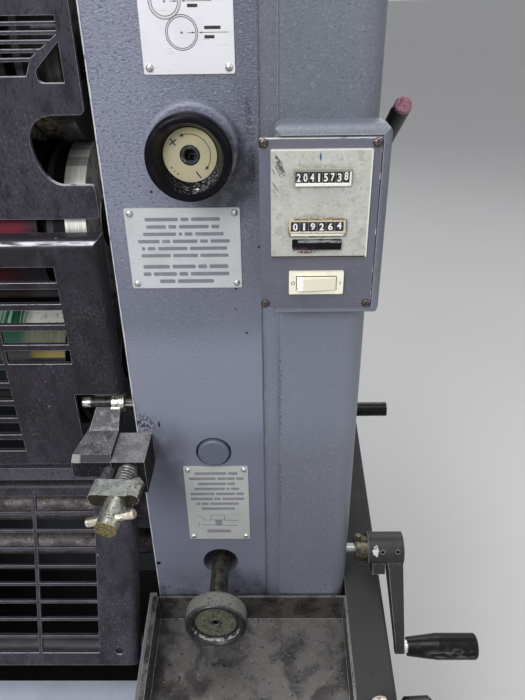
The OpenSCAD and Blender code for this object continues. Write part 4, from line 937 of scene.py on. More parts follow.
@listed
def clamp_block_iron():
    """Left part of a clamp: greasy and speckled, with a neck darkened by grease and painted shade, a dark
    lip and a bright boss.
    """
    low, _ = corners("clamp_block")
    plain = Finish("clamp_block_iron", (112, 111, 118), 0.38, metallic=0.35, specular=0.1)
    plain.stain(14, 0.42, 0.62, (70, 69, 74), 0.7, 5)
    plain.stain(2.4, 0.6, 0.66, (176, 176, 174), 0.85)
    plain.stain(3, 0.6, 0.68, (34, 36, 48), 0.8, 5)
    # neck darkened by grease and painted shade
    neck = plain.both(plain.step("Y", -6 * MM, 0.0), plain.cloud(6, 0.2, 0.5, 0.85))
    plain.paint(neck, (58, 57, 60))
    under = plain.beside("Z", low[2], 14, 8)
    plain.stain(6, 0.3, 0.6, (34, 34, 38), 0.8, within=under)
    shaded = plain.step(plain.facing("Z"), 0.7, 0.4)
    plain.paint(shaded, (26, 26, 30), metallic=0.0)
    plain.stain(3, 0.58, 0.68, (66, 66, 70), within=shaded)
    lip = plain.both(plain.beside("Y", low[1], 6.5, 5.8), plain.beside("Z", low[2], 18.5, 20))
    plain.paint(lip, (46, 46, 53), metallic=0.0)
    lip_end = (0.2515, 0.2485)
    plain.stain(5, 0.3, 0.42, (128, 131, 128), within=plain.both(lip, plain.step("-X", *lip_end)))
    boss_start, boss_foot = 0.272, 0.9805
    boss = plain.both(
        plain.beside("-X", boss_start, -0.5, 0.5),
        plain.beside("Z", boss_foot, -1.5, 1.5),
        plain.step("Y", 12 * MM, 14 * MM),
    )
    plain.paint(boss, (206, 204, 196), 0.24, 0.85)
    plain.stain(4, 0.48, 0.6, (80, 70, 60), 0.85, within=boss)
    plain.worn(0.6, 4, 1.14, 1.32, (176, 175, 172), 5, roughness=0.25)
    plain.rippled(2, 0.35, 4)
    return plain.done()


@listed
def yoke_iron():
    """Yoke of a clamp: dull greenish-grey top, a dark brown front and underside that are rust and painted
    shade, rusty ends, a cream upper edge line that is wear and painted highlight, dark spacers behind it.
    """
    seat, back = screw_axis()
    plain = Finish("yoke_iron", (160, 164, 160), 0.4, metallic=0.4, specular=0.12)
    plain.stain(9, 0.42, 0.64, (112, 116, 112), 0.7, 5)
    plain.stain(2.2, 0.56, 0.66, (70, 68, 60), 0.8)
    # faces turned down and forward: dark brown rust and painted shade
    shade_and_rust_below = plain.step(plain.facing("Z"), 0.62, 0.3)
    plain.paint(shade_and_rust_below, (44, 38, 29), metallic=0.0)
    plain.stain(4, 0.5, 0.62, (30, 25, 20), detail=5, within=shade_and_rust_below)
    plain.stain(
        5, 0.5, 0.6, (96, 82, 56), 0.8, 5,
        within=plain.step(plain.along(seat, (1.0, 0.0, 0.0)), 11 * MM, 15 * MM),
    )
    plain.worn(0.6, 3, 1.02, 1.2, (216, 212, 190), 5, roughness=0.22)
    # cream line along the upper edges: painted highlight with wear
    plain.stain(5, 0.3, 0.5, (216, 208, 180), within=plain.upper_edges(0.9 * MM))
    behind = plain.step(plain.along(seat, back), -19 * MM, -18 * MM)
    plain.paint(behind, (84, 84, 88))
    plain.stain(4, 0.5, 0.62, (54, 52, 50), 0.8, within=behind)
    plain.rippled(1.8, 0.2, 4)
    return plain.done()


@listed
def screw_brass():
    """Clamp screw: greenish-white steel with black pits, painted shade on its right side and underside, a
    rough brassy end and a pinkish cross bar.
    """
    seat, back = screw_axis()
    plain = Finish("screw_brass", (244, 245, 232), 0.24, metallic=0.9)
    plain.stain(7, 0.5, 0.68, (160, 160, 136), 0.5)
    plain.stain(2, 0.58, 0.64, (30, 28, 26), 0.95)
    # painted shade on the sides facing +X and on the underside
    plain.paint(plain.step(plain.facing("X"), 0.3, 0.9, 0.6), (104, 100, 88))
    plain.paint(plain.step(plain.facing("Z"), 0.1, -0.5), (96, 88, 66))
    end = plain.step(plain.along(seat, back), -72.5 * MM, -73.6 * MM)
    plain.paint(end, (112, 98, 46), 0.5, 0.0)
    plain.stain(2.4, 0.46, 0.56, (62, 50, 24), within=end)
    plain.stain(1.4, 0.6, 0.68, (196, 186, 122), detail=3, within=end)
    aside = np.array([back[1], -back[0], 0.0]) / math.hypot(back[0], back[1])
    arm = plain.sum("ABSOLUTE", plain.along(seat, aside))
    bar = plain.both(plain.step(arm, 10.6 * MM, 11.2 * MM), plain.cloud(6, 0.3, 0.6, 0.7))
    plain.paint(bar, (226, 204, 184))
    plain.rippled(1.6, 0.16, 4)
    return plain.done()


@listed
def knob_gloss():
    """Worn black thermoset: glossy, darker inside its recess as painted shade, with bright chips and painted
    highlights at the lower inner rim.
    """
    knob = middle("pressure_knob_right")
    face = corners("pressure_knob_right")[0][1]
    plain = Finish("knob_gloss", (14, 13, 18), 0.3, specular=0.08)
    plain.stain(12, 0.5, 0.72, (32, 31, 38), 0.5, 5)
    # painted shade: the inner wall of the recess darker
    wall = plain.beside("Y", face, 0.8, 2.2)
    plain.paint(wall, (7, 7, 10))
    # bright chips and painted highlights on the lower inner wall
    lower = plain.both(
        wall,
        plain.near((knob[0] + 12 * MM, face + 8 * MM, knob[2] - 16 * MM), (0.034, 0.03, 0.028), 0.8),
    )
    plain.stain(1.3, 0.54, 0.66, (168, 168, 176), 0.8, stretch=(1.8, 1, 1), within=lower)
    # bright chips and painted highlight on the lower rim
    rim = plain.near((knob[0] + 4 * MM, face + 3 * MM, knob[2] - 25 * MM), (0.012, 0.008, 3 * MM), 0.6)
    plain.paint(plain.step(plain.both(rim, plain.noise(2.4 * MM, 5)), 0.5, 0.58), (220, 220, 222))
    plain.rippled(2.4, 0.05)
    return plain.done()


@listed
def knob_dusty():
    """Black hand knob with a grey dusty film on the upper half of its barrel and a painted highlight on its
    lower inner lip.
    """
    low, high = corners("numbering_knob_right")
    centre = middle("numbering_knob_right")
    radius = (high[0] - low[0]) / 2
    plain = Finish("knob_dusty", (28, 28, 30), 0.3, specular=0.45)
    plain.stain(6, 0.5, 0.7, (58, 58, 58), 0.6, 5)
    level = plain.beside("Z", centre[2], -4, 16)
    back = plain.beside("Y", low[1], 1.5, 4)
    reach = plain.moved((centre[0], 0, centre[2]), (1, 1e6, 1))
    spread = plain.add("ShaderNodeVectorMath", {0: reach}, operation="LENGTH").outputs["Value"]
    barrel = plain.beside(spread, radius, -8, -6)
    dust = plain.both(level, back, barrel, plain.cloud(2.4, 0.25, 0.5, 0.9))
    plain.paint(dust, (110, 109, 105), 0.7)
    plain.stain(1.6, 0.56, 0.64, (70, 69, 68), 0.7, 3, within=dust)
    # pale arc on the lower inner lip: painted highlight
    lip = plain.both(
        plain.beside(spread, radius, -9, -8),
        plain.beside(spread, radius, -6.4, -7.2),
        plain.step("Z", centre[2], centre[2] - 16 * MM),
        plain.beside("Y", low[1], 8, 6),
    )
    plain.stain(4, 0.4, 0.58, (160, 157, 150), 0.8, 3, within=lip)
    shaft = plain.step(spread, 13.5 * MM, 13 * MM)
    steel = plain.both(shaft, plain.beside("Y", low[1], 23, 25))
    plain.paint(steel, (74, 72, 66), 0.3, 0.7)
    plain.stain(8, 0.48, 0.6, (40, 38, 36), 0.8, within=steel)
    plain.paint(plain.both(steel, plain.beside("Y", low[1], 31, 30)), (206, 206, 202))
    plain.rippled(2.4, 0.1)
    return plain.done()


@listed
def black_grip():
    """Scuffed black plastic of the crank grip and levers."""
    low, high = corners("crank_grip")
    plain = Finish("black_grip", (12, 12, 14), 0.2, specular=0.16)
    scuff = plain.both(
        plain.near(
            ((low[0] + high[0]) / 2 + 10 * MM, low[1] + 6 * MM, (low[2] + high[2]) / 2 + 4 * MM),
            (0.04, 0.03, 9 * MM), 0.5,
        ),
        plain.cloud(5, 0.46, 0.58, detail=5, stretch=(3, 1, 1)),
    )
    plain.paint(scuff, (76, 76, 76), 0.5)
    plain.stain(5, 0.64, 0.74, (64, 64, 64), 0.5, 5)
    plain.rough(plain.cloud(10, 0.4, 0.65), 0.36)
    plain.rippled(2, 0.07)
    return plain.done()


@listed
def lever_red():
    """Red-black plastic lever with a worn pink end cap."""
    looks = bpy.context.scene.press_looks
    low, high = corners("release_lever")
    plain = Finish("lever_red", (12, 9, 12), 0.38, specular=0.1)
    plain.stain(12, 0.4, 0.65, (22, 12, 17), 0.7, 5)
    lean = math.radians(looks.release_lean)
    axis = (0.0, -math.sin(lean), math.cos(lean))
    tip = (low[0] + looks.release_reach, low[1] + 9 * MM, high[2] - 5.4 * MM)
    depth = plain.along(tip, axis)
    plain.paint(plain.step(depth, -12 * MM, -3 * MM), (52, 19, 29))
    cap = plain.both(plain.step(depth, -2.2 * MM, -0.8 * MM), plain.cloud(5, 0.2, 0.5))
    plain.paint(cap, (164, 118, 134))
    plain.stain(3, 0.56, 0.64, (92, 52, 66), 0.8, within=cap)
    plain.rippled(2.5, 0.1)
    return plain.done()


@listed
def pile_grip():
    """Glossy black lever grip on a cream head that is stained red."""
    low, _ = corners("pile_lever")
    plain = Finish("pile_grip", (12, 12, 14), 0.14, specular=0.35)
    plain.rough(plain.cloud(10, 0.4, 0.65), 0.3)
    head = plain.beside("X", low[0], 21, 19.5)
    plain.paint(head, (206, 198, 186), 0.45)
    plain.stain(8, 0.52, 0.6, (150, 84, 76), 0.9, within=head)
    plain.rippled(2, 0.06)
    return plain.done()


def plate_finish(name, color, stain, mark):
    """Satin instruction plate: faint clouds, stains, fine scratches and a speck."""
    plain = Finish(name, color, 0.36, metallic=0.25, specular=0.5)
    plain.stain(30, 0.45, 0.7, stain, 0.45)
    plain.stain(1.6, 0.6, 0.75, (232, 231, 236), 0.35, 2)
    plain.stain(1.5, 0.66, 0.72, (150, 149, 156), 0.3, 2, stretch=(9, 1, 1))
    plain.paint(plain.step(plain.cells(21 * MM), 0.05, 0.03, 0.8), mark)
    plain.worn(0.5, 5, 1.1, 1.3, (150, 150, 150))
    return plain.done()


@listed
def plate_pale():
    """Pale plate above the pressure knob."""
    return plate_finish("plate_pale", (225, 224, 230), (210, 211, 215), (180, 170, 100))


@listed
def plate_middle():
    """Greyer plate between the knobs."""
    return plate_finish("plate_middle", (198, 201, 204), (180, 184, 182), (180, 170, 100))


@listed
def plate_dull():
    """Darker grey plate above the numbering knob."""
    return plate_finish("plate_dull", (184, 187, 184), (162, 165, 160), (160, 160, 80))


@listed
def counter_cream():
    """Cream counter plate with dark rubbed strokes, a drop of blue ink, grime at its edges and a painted
    shadow along its lower edge.
    """
    low, high = corners("counter_plate")
    plain = Finish("counter_cream", (182, 183, 177), 0.4, specular=0.35)
    plain.stain(20, 0.45, 0.7, (168, 168, 158), 0.5, 5)
    plain.stain(2.4, 0.56, 0.7, (138, 137, 128), 0.55)
    plain.stain(9, 0.52, 0.68, (150, 149, 138), 0.5, 5)
    plain.stain(5, 0.54, 0.68, (202, 203, 198), 0.4, 5)
    left, top = low[0], high[2]
    for dx, dz, ex, ez, width in (
        (1, 2, 12, 13, 0.5), (4, 4, 11, 22, 2.6), (2, 9, 9, 24, 0.7), (7, 9, 12, 21, 1.7),
        (1, 26, 7, 35, 0.7), (2, 31, 5, 40, 0.4), (1, 15, 4, 21, 0.5),
    ):
        line = plain.stroke((left + dx * MM, top - dz * MM), (left + ex * MM, top - ez * MM), width * MM)
        rubbed = plain.both(line, plain.cloud(1.8, 0.34, 0.52, 0.85, 3))
        plain.paint(rubbed, (74, 74, 74))
    drop = plain.stroke((left + 41 * MM, top - 3 * MM), (left + 41 * MM, top - 9 * MM), 1.0 * MM)
    plain.paint(drop, (60, 76, 128))
    rubbed = plain.near((left + 41 * MM, low[1], top - 50 * MM), (7 * MM, 9 * MM, 7 * MM), 0.8)
    plain.stain(1.6, 0.48, 0.6, (140, 138, 130), 0.5, 3, within=rubbed)
    for node, spread in (("total_counter", 4 * MM), ("job_counter", 5 * MM), ("reset_key", 4 * MM)):
        part_low, part_high = corners(node)
        centre, half = (part_low + part_high) / 2, (part_high - part_low) / 2
        halo = plain.near(
            (centre[0], low[1], centre[2]), (half[0] + spread, 9 * MM, half[2] + 1.3 * spread), 0.45,
        )
        plain.stain(4, 0.36, 0.62, (128, 126, 116), 0.7, within=halo)
    # painted shadow along the lower edge
    plain.paint(plain.beside("Z", low[2], 2.0, 1.5), (40, 40, 42))
    plain.paint(
        plain.either(plain.beside("Z", high[2], -1.2, -0.7), plain.beside("X", high[0], -1.4, -0.8)),
        (232, 232, 226),
    )
    plain.worn(1.2, 5, 1.15, 1.35, (150, 148, 138))
    key, _ = corners("reset_key")
    smudge = plain.near((key[0] + 12 * MM, low[1], key[2] - 2.5 * MM), (14 * MM, 9 * MM, 3.4 * MM), 0.8)
    plain.stain(2, 0.36, 0.56, (70, 34, 36), within=smudge)
    return plain.done()


def plain_plastic_finish(name, color, dirt, roughness=0.35):
    """Moulded plastic under construction: a base colour, clouds of dirt and a fine grain."""
    plain = Finish(name, color, roughness, specular=0.45)
    plain.stain(7, 0.5, 0.75, dirt, 0.6, 5)
    plain.worn(0.6, 3, 1.1, 1.35, dirt)
    plain.rippled(1.2, 0.03)
    return plain


def plain_plastic(name, color, dirt, roughness=0.35):
    """Finished moulded plastic."""
    return plain_plastic_finish(name, color, dirt, roughness).done()


@listed
def counter_white():
    """White plastic of the upper window frame, greyed along its upper edge."""
    low, high = corners("total_counter")
    plain = Finish("counter_white", (232, 231, 224), 0.35, specular=0.45)
    shade = plain.either(plain.beside("Z", high[2], -3.2, -2.2), plain.beside("X", low[0], 2.2, 1.2))
    plain.paint(plain.both(shade, plain.beside("Z", low[2], -6, -5)), (140, 140, 128))
    plain.stain(3, 0.56, 0.7, (168, 164, 150), 0.6)
    return plain.done()


@listed
def counter_rusty():
    """Lower window frame: cream, with a rusty brown outline."""
    low, high = corners("job_counter")
    plain = Finish("counter_rusty", (196, 190, 170), 0.5, specular=0.4)
    outline = plain.either(
        plain.beside("X", low[0], 0.9, 0.4),
        plain.beside("X", high[0], -0.9, -0.4),
        plain.beside("Z", high[2], -0.7, -0.3),
        plain.beside("Z", low[2], 3.6, 3.3),
    )
    plain.stain(4, 0.3, 0.55, (112, 84, 54), within=outline)
    plain.stain(3, 0.56, 0.68, (120, 98, 66), 0.6)
    return plain.done()


@listed
def switch_cream():
    """Cream plastic of the rocker and its bezel: a dark gap round the rocker, and on the cap a paler end
    facet and a darker rest, painted light and shade.
    """
    low, high = corners("rocker_switch")
    bezel, bezel_high = corners("switch_bezel")
    plain = plain_plastic_finish("switch_cream", (236, 234, 214), (206, 198, 172), 0.3)
    half = 0.83 * (high[2] - low[2]) / 2 + 0.75 * MM
    away_x = plain.sum("ABSOLUTE", plain.sum("SUBTRACT", plain.axis("X"), (low[0] + high[0]) / 2))
    away_z = plain.sum("ABSOLUTE", plain.sum("SUBTRACT", plain.axis("Z"), (bezel[2] + bezel_high[2]) / 2))
    gap = plain.both(
        plain.step(away_x, (high[0] - low[0]) / 2 + 0.85 * MM, (high[0] - low[0]) / 2 + 0.6 * MM),
        plain.beside(away_z, half, 0.1, -0.15),
        plain.beside("Y", bezel[1], -0.2, -0.1),
    )
    plain.paint(gap, (92, 86, 66))
    # painted light and shade of the cap's facets: the rest of the cap darker, the end facet paler
    raised = plain.beside("Y", bezel[1], -0.3, -0.6)
    plain.paint(plain.both(raised, plain.beside("X", low[0], 5.6, 6.2)), (222, 217, 196))
    facet = plain.both(raised, plain.beside("X", low[0], 5.6, 5.2))
    plain.paint(facet, (246, 246, 238))
    plain.stain(1.6, 0.62, 0.68, (150, 148, 142), detail=3, within=facet)
    return plain.done()


@listed
def key_black():
    """Black reset key with a grey rubbed upper lip and a violet stain below."""
    low, high = corners("reset_key")
    plain = Finish("key_black", (14, 13, 15), 0.4, specular=0.15)
    lip = plain.both(
        plain.beside("Z", high[2], -2.2, -1.6),
        plain.beside("X", low[0], 4, 5), plain.cloud(3, 0.44, 0.56, stretch=(3, 1, 1)),
    )
    plain.paint(lip, (136, 136, 140))
    stain = plain.both(plain.beside("Z", low[2], 3.5, 1), plain.beside("X", low[0], 26, 12))
    plain.stain(2.4, 0.4, 0.6, (76, 44, 66), within=stain)
    return plain.done()


@listed
def dial_cream():
    """Cream dial card of the pressure knob, with a yellow stain."""
    plain = Finish("dial_cream", (176, 170, 142), 0.42, specular=0.3)
    plain.stain(12, 0.5, 0.7, (190, 176, 130), 0.6)
    plain.stain(2.4, 0.64, 0.74, (140, 132, 104), 0.35)
    return plain.done()


@listed
def dial_dirty():
    """Dirty greenish dial card of the numbering knob."""
    plain = Finish("dial_dirty", (92, 94, 80), 0.5, specular=0.2)
    plain.stain(6, 0.42, 0.6, (74, 76, 66), 0.8, 5)
    plain.stain(3, 0.54, 0.66, (38, 40, 34), 0.8, 5)
    return plain.done()


@listed
def rivet_steel():
    """Dome rivets: bright, with duller blots."""
    plain = Finish("rivet_steel", (196, 196, 194), 0.28, metallic=0.85)
    plain.stain(3, 0.5, 0.7, (120, 120, 116), 0.7)
    plain.rippled(1, 0.05)
    return plain.done()


@listed
def washer_steel():
    """Greasy grey spring washers and studs with darker stains."""
    plain = Finish("washer_steel", (124, 124, 120), 0.34, metallic=0.6)
    plain.stain(4, 0.45, 0.64, (74, 72, 68), 0.8)
    plain.rippled(1.4, 0.1)
    return plain.done()


@listed
def screw_dark():
    """Blackened screws with rubbed pinkish-brown heads."""
    plain = Finish("screw_dark", (58, 54, 54), 0.34, metallic=0.7)
    plain.stain(3, 0.5, 0.66, (150, 122, 118), 0.8)
    plain.worn(0.4, 2, 1.05, 1.25, (190, 184, 180))
    return plain.done()


@listed
def socket_dark():
    """Dark fluffy rim of the bolt holes in the dials."""
    plain = Finish("socket_dark", (44, 44, 46), 0.5, metallic=0.3)
    plain.stain(2, 0.5, 0.62, (104, 104, 102), 0.8)
    return plain.done()


@listed
def hole_black():
    """Matt black of an open hole, with a little lint."""
    plain = Finish("hole_black", (12, 12, 13), 0.8, specular=0.1)
    plain.stain(2, 0.6, 0.75, (40, 40, 40), 0.4)
    return plain.done()


# Plain plastics and prints: colour, dirt and roughness
PLASTICS = {
    "wheel_black": ((22, 23, 26), (54, 55, 58), 0.3),
    "figure_white": ((232, 231, 226), (190, 188, 180), 0.5),
    "print_ink": ((36, 36, 40), (66, 66, 70), 0.5),
    "line_ink": ((122, 121, 130), (146, 145, 154), 0.5),
    "pale_ink": ((196, 196, 198), (184, 184, 186), 0.5),
    "dial_ink_faint": ((84, 86, 74), (104, 106, 92), 0.55),
    "counter_worn": ((206, 204, 196), (110, 102, 96), 0.5),
    "wheel_blue": ((30, 34, 46), (60, 64, 74), 0.3),
}

NODE_FINISH = {
    "base_plinth": "wall_paint", "column_right": "hammertone", "column_left": "hammertone",
    "cover_right": "cover_paint", "cover_left": "cover_paint", "side_wall_right": "wall_paint",
    "side_wall_left": "wall_paint", "delivery_box_right": "housing_paint",
    "delivery_box_left": "housing_paint", "delivery_crossbeam": "wall_paint", "pile_board": "board_paint",
    "tool_tray": "tray_steel", "ink_unit_housing": "housing_paint", "rear_panel": "housing_paint",
    "feed_board": "board_paint", "guard_rail": "guard_rail_finish", "guard_upper": "guard_upper_finish",
    "guard_blanket": "guard_blanket_finish", "guard_delivery": "guard_delivery_finish",
    "plate_cylinder": "plate_cylinder_finish", "blanket_cylinder": "blanket_finish",
    "impression_cylinder": "impression_finish", "numbering_shaft": "roller_steel",
    "delivery_roller": "roller_steel", "lower_roller": "lower_roller_dark", "clamp_shaft": "shaft_steel",
    "clamp_block": "clamp_block_iron", "clamp_cap": "clamp_iron", "clamp_yoke": "yoke_iron",
    "clamp_screw_right": "screw_brass", "clamp_screw_left": "screw_brass",
    "pressure_knob_right": "knob_gloss", "pressure_knob_left": "knob_gloss",
    "numbering_knob_right": "knob_dusty", "numbering_knob_left": "knob_dusty",
    "plug_cap_right": "hammertone", "plug_cap_left": "hammertone", "instruction_plate_top": "plate_pale",
    "instruction_plate_middle": "plate_middle", "instruction_plate_lower": "plate_dull",
    "counter_housing": "cover_paint", "counter_panel": "panel_paint", "counter_plate": "counter_cream",
    "total_counter": "counter_white", "job_counter": "counter_rusty", "reset_key": "key_black",
    "switch_bezel": "switch_cream", "rocker_switch": "switch_cream", "crank_arm": "crank_paint",
    "crank_grip": "black_grip", "side_lever": "black_grip", "release_lever": "lever_red",
    "pile_lever": "pile_grip",
}


def material(name):
    """A finished material by name, made the first time a piece asks for it."""
    found = bpy.data.materials.get(FINISH_PREFIX + name)
    if found is None:
        found = plain_plastic(name, *PLASTICS[name]) if name in PLASTICS else FINISHES[name]()
    return found


# What a user may change


def length(label, about, millimetres):
    """A length setting with its default in millimetres."""
    return FloatProperty(name=label, description=about, default=millimetres * MM, unit="LENGTH")


def degrees(label, about, value):
    """An angle setting in degrees."""
    return FloatProperty(name=label, description=about + ", in degrees", default=value)


def tint(label, about, srgb):
    """A colour setting with its default as sRGB from 0 to 255."""
    return FloatVectorProperty(
        name=label, description=about, default=tone(srgb)[:3], subtype="COLOR", min=0, max=1,
    )


class PressLooks(bpy.types.PropertyGroup):
    """Sizes and colours of what the scene adds to the press."""

    column_color: tint("Column paint", "Hammered paint of the two columns", (108, 111, 126))
    cover_color: tint("Cover paint", "Satin paint of the covers and the counter panel", (106, 110, 121))
    floor_color: tint("Floor", "Colour of the plain floor", (206, 206, 206))
    bearer_start: length(
        "Bearer start", "Distance from the centre at which the ground bearer rings begin", 246.5,
    )
    bearer_end: length("Bearer end", "Distance from the centre at which the ground bearer rings end", 267.9)
    body_end: length("Body end", "Distance from the centre at which the cylinders' bodies end", 218.5)
    cover_bend: length(
        "Cover bend", "Distance of the crease in the covers' front from their inner edges", 18.0,
    )
    rivet_width: length("Rivet width", "Width of the dome rivets on the plates", 6.6)
    rivet_inset: length("Rivet inset", "Distance of a rivet from the plate's edges", 5.0)
    screw_width: length("Panel screw width", "Width of the cross-head screws", 8.0)
    line_height: length("Line height", "Height of the neutral bars that stand for printed lines", 3.4)
    total_figures: StringProperty(
        name="Total", description="Figures of the upper counter", default="20415738")
    job_figures: StringProperty(
        name="Job", description="Figures of the lower counter", default="019264")
    pressure_dial_width: length("Pressure dial width", "Width of the upper knobs' dial cards", 44.4)
    numbering_dial_width: length("Numbering dial width", "Width of the lower knobs' dial cards", 47.0)
    pressure_dial_depth: length(
        "Pressure dial depth", "Depth of the upper knobs' dials behind their rims", 16.0,
    )
    numbering_dial_depth: length(
        "Numbering dial depth", "Depth of the lower knobs' dials behind their rims", 6.5,
    )
    dial_turn: degrees("Dial turn", "Turn of the arcs on the dials from the right", 36.0)
    washer_turns: IntProperty(
        name="Spring washer turns", description="Rings of the spring washers behind the clamp yokes",
        default=5,
    )
    screw_inset: length(
        "Clamp screw inset", "Distance of the clamp screws from the clamps' outer sides", 17.4,
    )
    screw_tilt: degrees("Clamp screw tilt", "Fall of the clamp screws towards the front", 9.0)
    screw_turn: degrees("Clamp screw turn", "Turn of the clamp screws about the upright", -8.0)
    release_lean: degrees("Release lean", "Lean of the release lever from the upright", 58.8)
    release_reach: length("Release reach", "Distance of the release lever's axis from its inner end", 62.0)
    lamp_strength: FloatProperty(
        name="Lamp strength", description="Strength of the main lamp", default=72.0, unit="POWER")


class PRESS_OT_stage(bpy.types.Operator):
    """Makes the pale floor, the soft lamps, the world and the camera"""

    bl_idname = "press.stage"
    bl_label = "Stage"

    def execute(self, context):
        looks = context.scene.press_looks
        self.floor(looks)
        self.lamps(looks)
        self.world(context)
        self.camera(context)
        context.scene.view_settings.view_transform = "Standard"
        return {"FINISHED"}

    def floor(self, looks):
        """A wide flat square at ground level."""
        reach = 40.0
        mesh = bpy.data.meshes.new("floor")
        mesh.from_pydata([(-reach, -reach, 0), (reach, -reach, 0), (reach, reach, 0), (-reach, reach, 0)],
                         [], [(0, 1, 2, 3)])
        plain = Finish("floor_paint", (*looks.floor_color, 1.0), 0.8, specular=0.1)
        plain.stain(900, 0.3, 0.7, (200, 200, 199), 0.4, 3)
        mesh.materials.append(plain.done())
        floor = bpy.data.objects.new("floor", mesh)
        bpy.context.scene.collection.objects.link(floor)

    def lamps(self, looks):
        """Four soft lamps: from the upper left front, from overhead, from the right and from behind."""
        for name, place, aim, size, strength in (
            ("main_lamp", (-0.85, -2.6, 2.9), (0.3, 0.0, 1.0), 1.3, 1.0),
            ("top_lamp", (0.2, -0.7, 4.2), (0.3, -0.1, 1.0), 2.2, 0.9),
            ("fill_lamp", (3.0, -1.6, 2.4), (0.3, 0.0, 1.0), 2.4, 0.2),
            ("back_lamp", (0.6, 3.2, 3.4), (0.2, 0.2, 1.0), 2.6, 0.6),
        ):
            light = bpy.data.lights.new(name, "AREA")
            light.shape = "DISK"
            light.size = size
            light.energy = looks.lamp_strength * strength
            lamp = bpy.data.objects.new(name, light)
            lamp.rotation_euler = aimed(np.array(aim) - np.array(place))
            lamp.location = place
            bpy.context.scene.collection.objects.link(lamp)

    def world(self, context):
        """Even pale surroundings, seen white by the camera and in reflections."""
        world = bpy.data.worlds.new("studio")
        world.use_nodes = True
        tree = world.node_tree
        background = tree.nodes["Background"]
        background.inputs["Color"].default_value = (0.96, 0.97, 1.0, 1.0)
        rays = add_node(tree, "ShaderNodeLightPath").outputs
        seen = rays["Is Camera Ray"]
        for other in ("Is Transmission Ray", "Is Glossy Ray"):
            seen = add_node(
                tree, "ShaderNodeMath", {0: seen, 1: rays[other]}, operation="MAXIMUM",
            ).outputs[0]
        level = add_node(
            tree, "ShaderNodeMapRange", {"Value": seen, "To Min": 0.4, "To Max": 0.9},
        ).outputs[0]
        tree.links.new(level, background.inputs["Strength"])
        context.scene.world = world

    def camera(self, context):
        """A camera at the photograph's place, height and angle."""
        place = (0.4494, -0.561, 1.400)
        pitch, yaw, roll = math.radians(-30.5), math.radians(-0.9), math.radians(-0.87)
        focal_pixels, frame_height, sensor = 640.0, 700.0, 36.0
        ahead = np.array([math.sin(yaw) * math.cos(pitch), math.cos(yaw) * math.cos(pitch), math.sin(pitch)])
        aside = np.array([math.cos(yaw), -math.sin(yaw), 0.0])
        down = np.cross(ahead, aside)
        tilted_aside = aside * math.cos(roll) - down * math.sin(roll)
        tilted_down = down * math.cos(roll) + aside * math.sin(roll)
        lens = bpy.data.cameras.new("camera")
        lens.sensor_width = sensor
        lens.lens = sensor * focal_pixels / frame_height
        lens.clip_start = 0.02
        lens.clip_end = 200.0
        camera = bpy.data.objects.new("camera", lens)
        turn = Matrix(np.column_stack([tilted_aside, -tilted_down, -ahead]).tolist())
        camera.rotation_euler = turn.to_euler()
        camera.location = place
        context.scene.collection.objects.link(camera)
        context.scene.camera = camera


def aimed(direction):
    """Turn that points a lamp's own -Z along a direction."""
    return Vector(direction.tolist()).to_track_quat("-Z", "Y").to_euler()


class PRESS_OT_finishes(bpy.types.Operator):
    """Gives each piece of the construction its finish"""

    bl_idname = "press.finishes"
    bl_label = "Finishes"

    def execute(self, context):
        for name, node in NODES.items():
            made = material(NODE_FINISH[name])
            if not node.material_slots:
                node.data.materials.append(made)
            for slot in node.material_slots:
                slot.material = made
        return {"FINISHED"}


class PRESS_OT_rivets(bpy.types.Operator):
    """Makes the dome rivets that hold the instruction plates"""

    bl_idname = "press.rivets"
    bl_label = "Rivets"

    def execute(self, context):
        looks = context.scene.press_looks
        for plate in ("top", "middle", "lower"):
            low, high = corners("instruction_plate_" + plate)
            inset = looks.rivet_inset
            heads = [
                placed(dome(looks.rivet_width / 2, 2.2 * MM), (x, low[1], z))
                for x in (low[0] + inset, high[0] - inset) for z in (low[2] + inset, high[2] - inset)
            ]
            piece("plate_rivets_" + plate, joined(heads), "press", "rivet_steel")
        return {"FINISHED"}


def print_rows(plate, top, pitch, rows, height):
    """Rows of neutral bars on a plate: each bar is a rounded strip, as wide as its share of the plate."""
    low, high = corners(plate)
    width = high[0] - low[0]
    bars = []
    gap = 0.022
    for row, words in enumerate(rows):
        across = 0.5 - (sum(words) + gap * (len(words) - 1)) / 2
        for share in words:
            bar = slab(share * width, height, 0.3 * height, 0.06 * MM)
            x = low[0] + (across + share / 2) * width
            bars.append(placed(bar, (x, low[1] - 0.02 * MM, high[2] - top - row * pitch)))
            across += share + gap
    return bars


class PRESS_OT_prints(bpy.types.Operator):
    """Makes the neutral bars and plain diagrams that stand for the plates' print"""

    bl_idname = "press.prints"
    bl_label = "Plate prints"

    def execute(self, context):
        looks = context.scene.press_looks
        height = looks.line_height
        upper = [
            (0.29, 0.07, 0.25), (0.17, 0.07, 0.26, 0.07), (0.29, 0.03, 0.07, 0.25),
            (0.19, 0.07, 0.22, 0.07, 0.17), (0.03, 0.07, 0.26, 0.33), (0.26, 0.22, 0.25),
        ]
        lower = [(0.24, 0.21, 0.08, 0.17), (0.07, 0.21, 0.08, 0.35), (0.14, 0.33)]
        bars = print_rows("instruction_plate_middle", 10.7 * MM, 7.0 * MM, upper, height)
        bars += print_rows("instruction_plate_middle", 56.8 * MM, 7.5 * MM, lower, height * 1.15)
        piece("plate_lines_middle", joined(bars), "press", "line_ink")
        rows = [
            (0.5, 0.15), (0.42, 0.27, 0.12), (0.44, 0.12), (0.48, 0.05, 0.13), (0.38, 0.3, 0.12),
            (0.35, 0.11, 0.35), (0.05, 0.12, 0.46), (0.54,),
        ]
        bars = print_rows("instruction_plate_lower", 10.4 * MM, 7.8 * MM, rows, height * 1.15)
        piece("plate_lines_lower", joined(bars), "press", "line_ink")
        return {"FINISHED"}


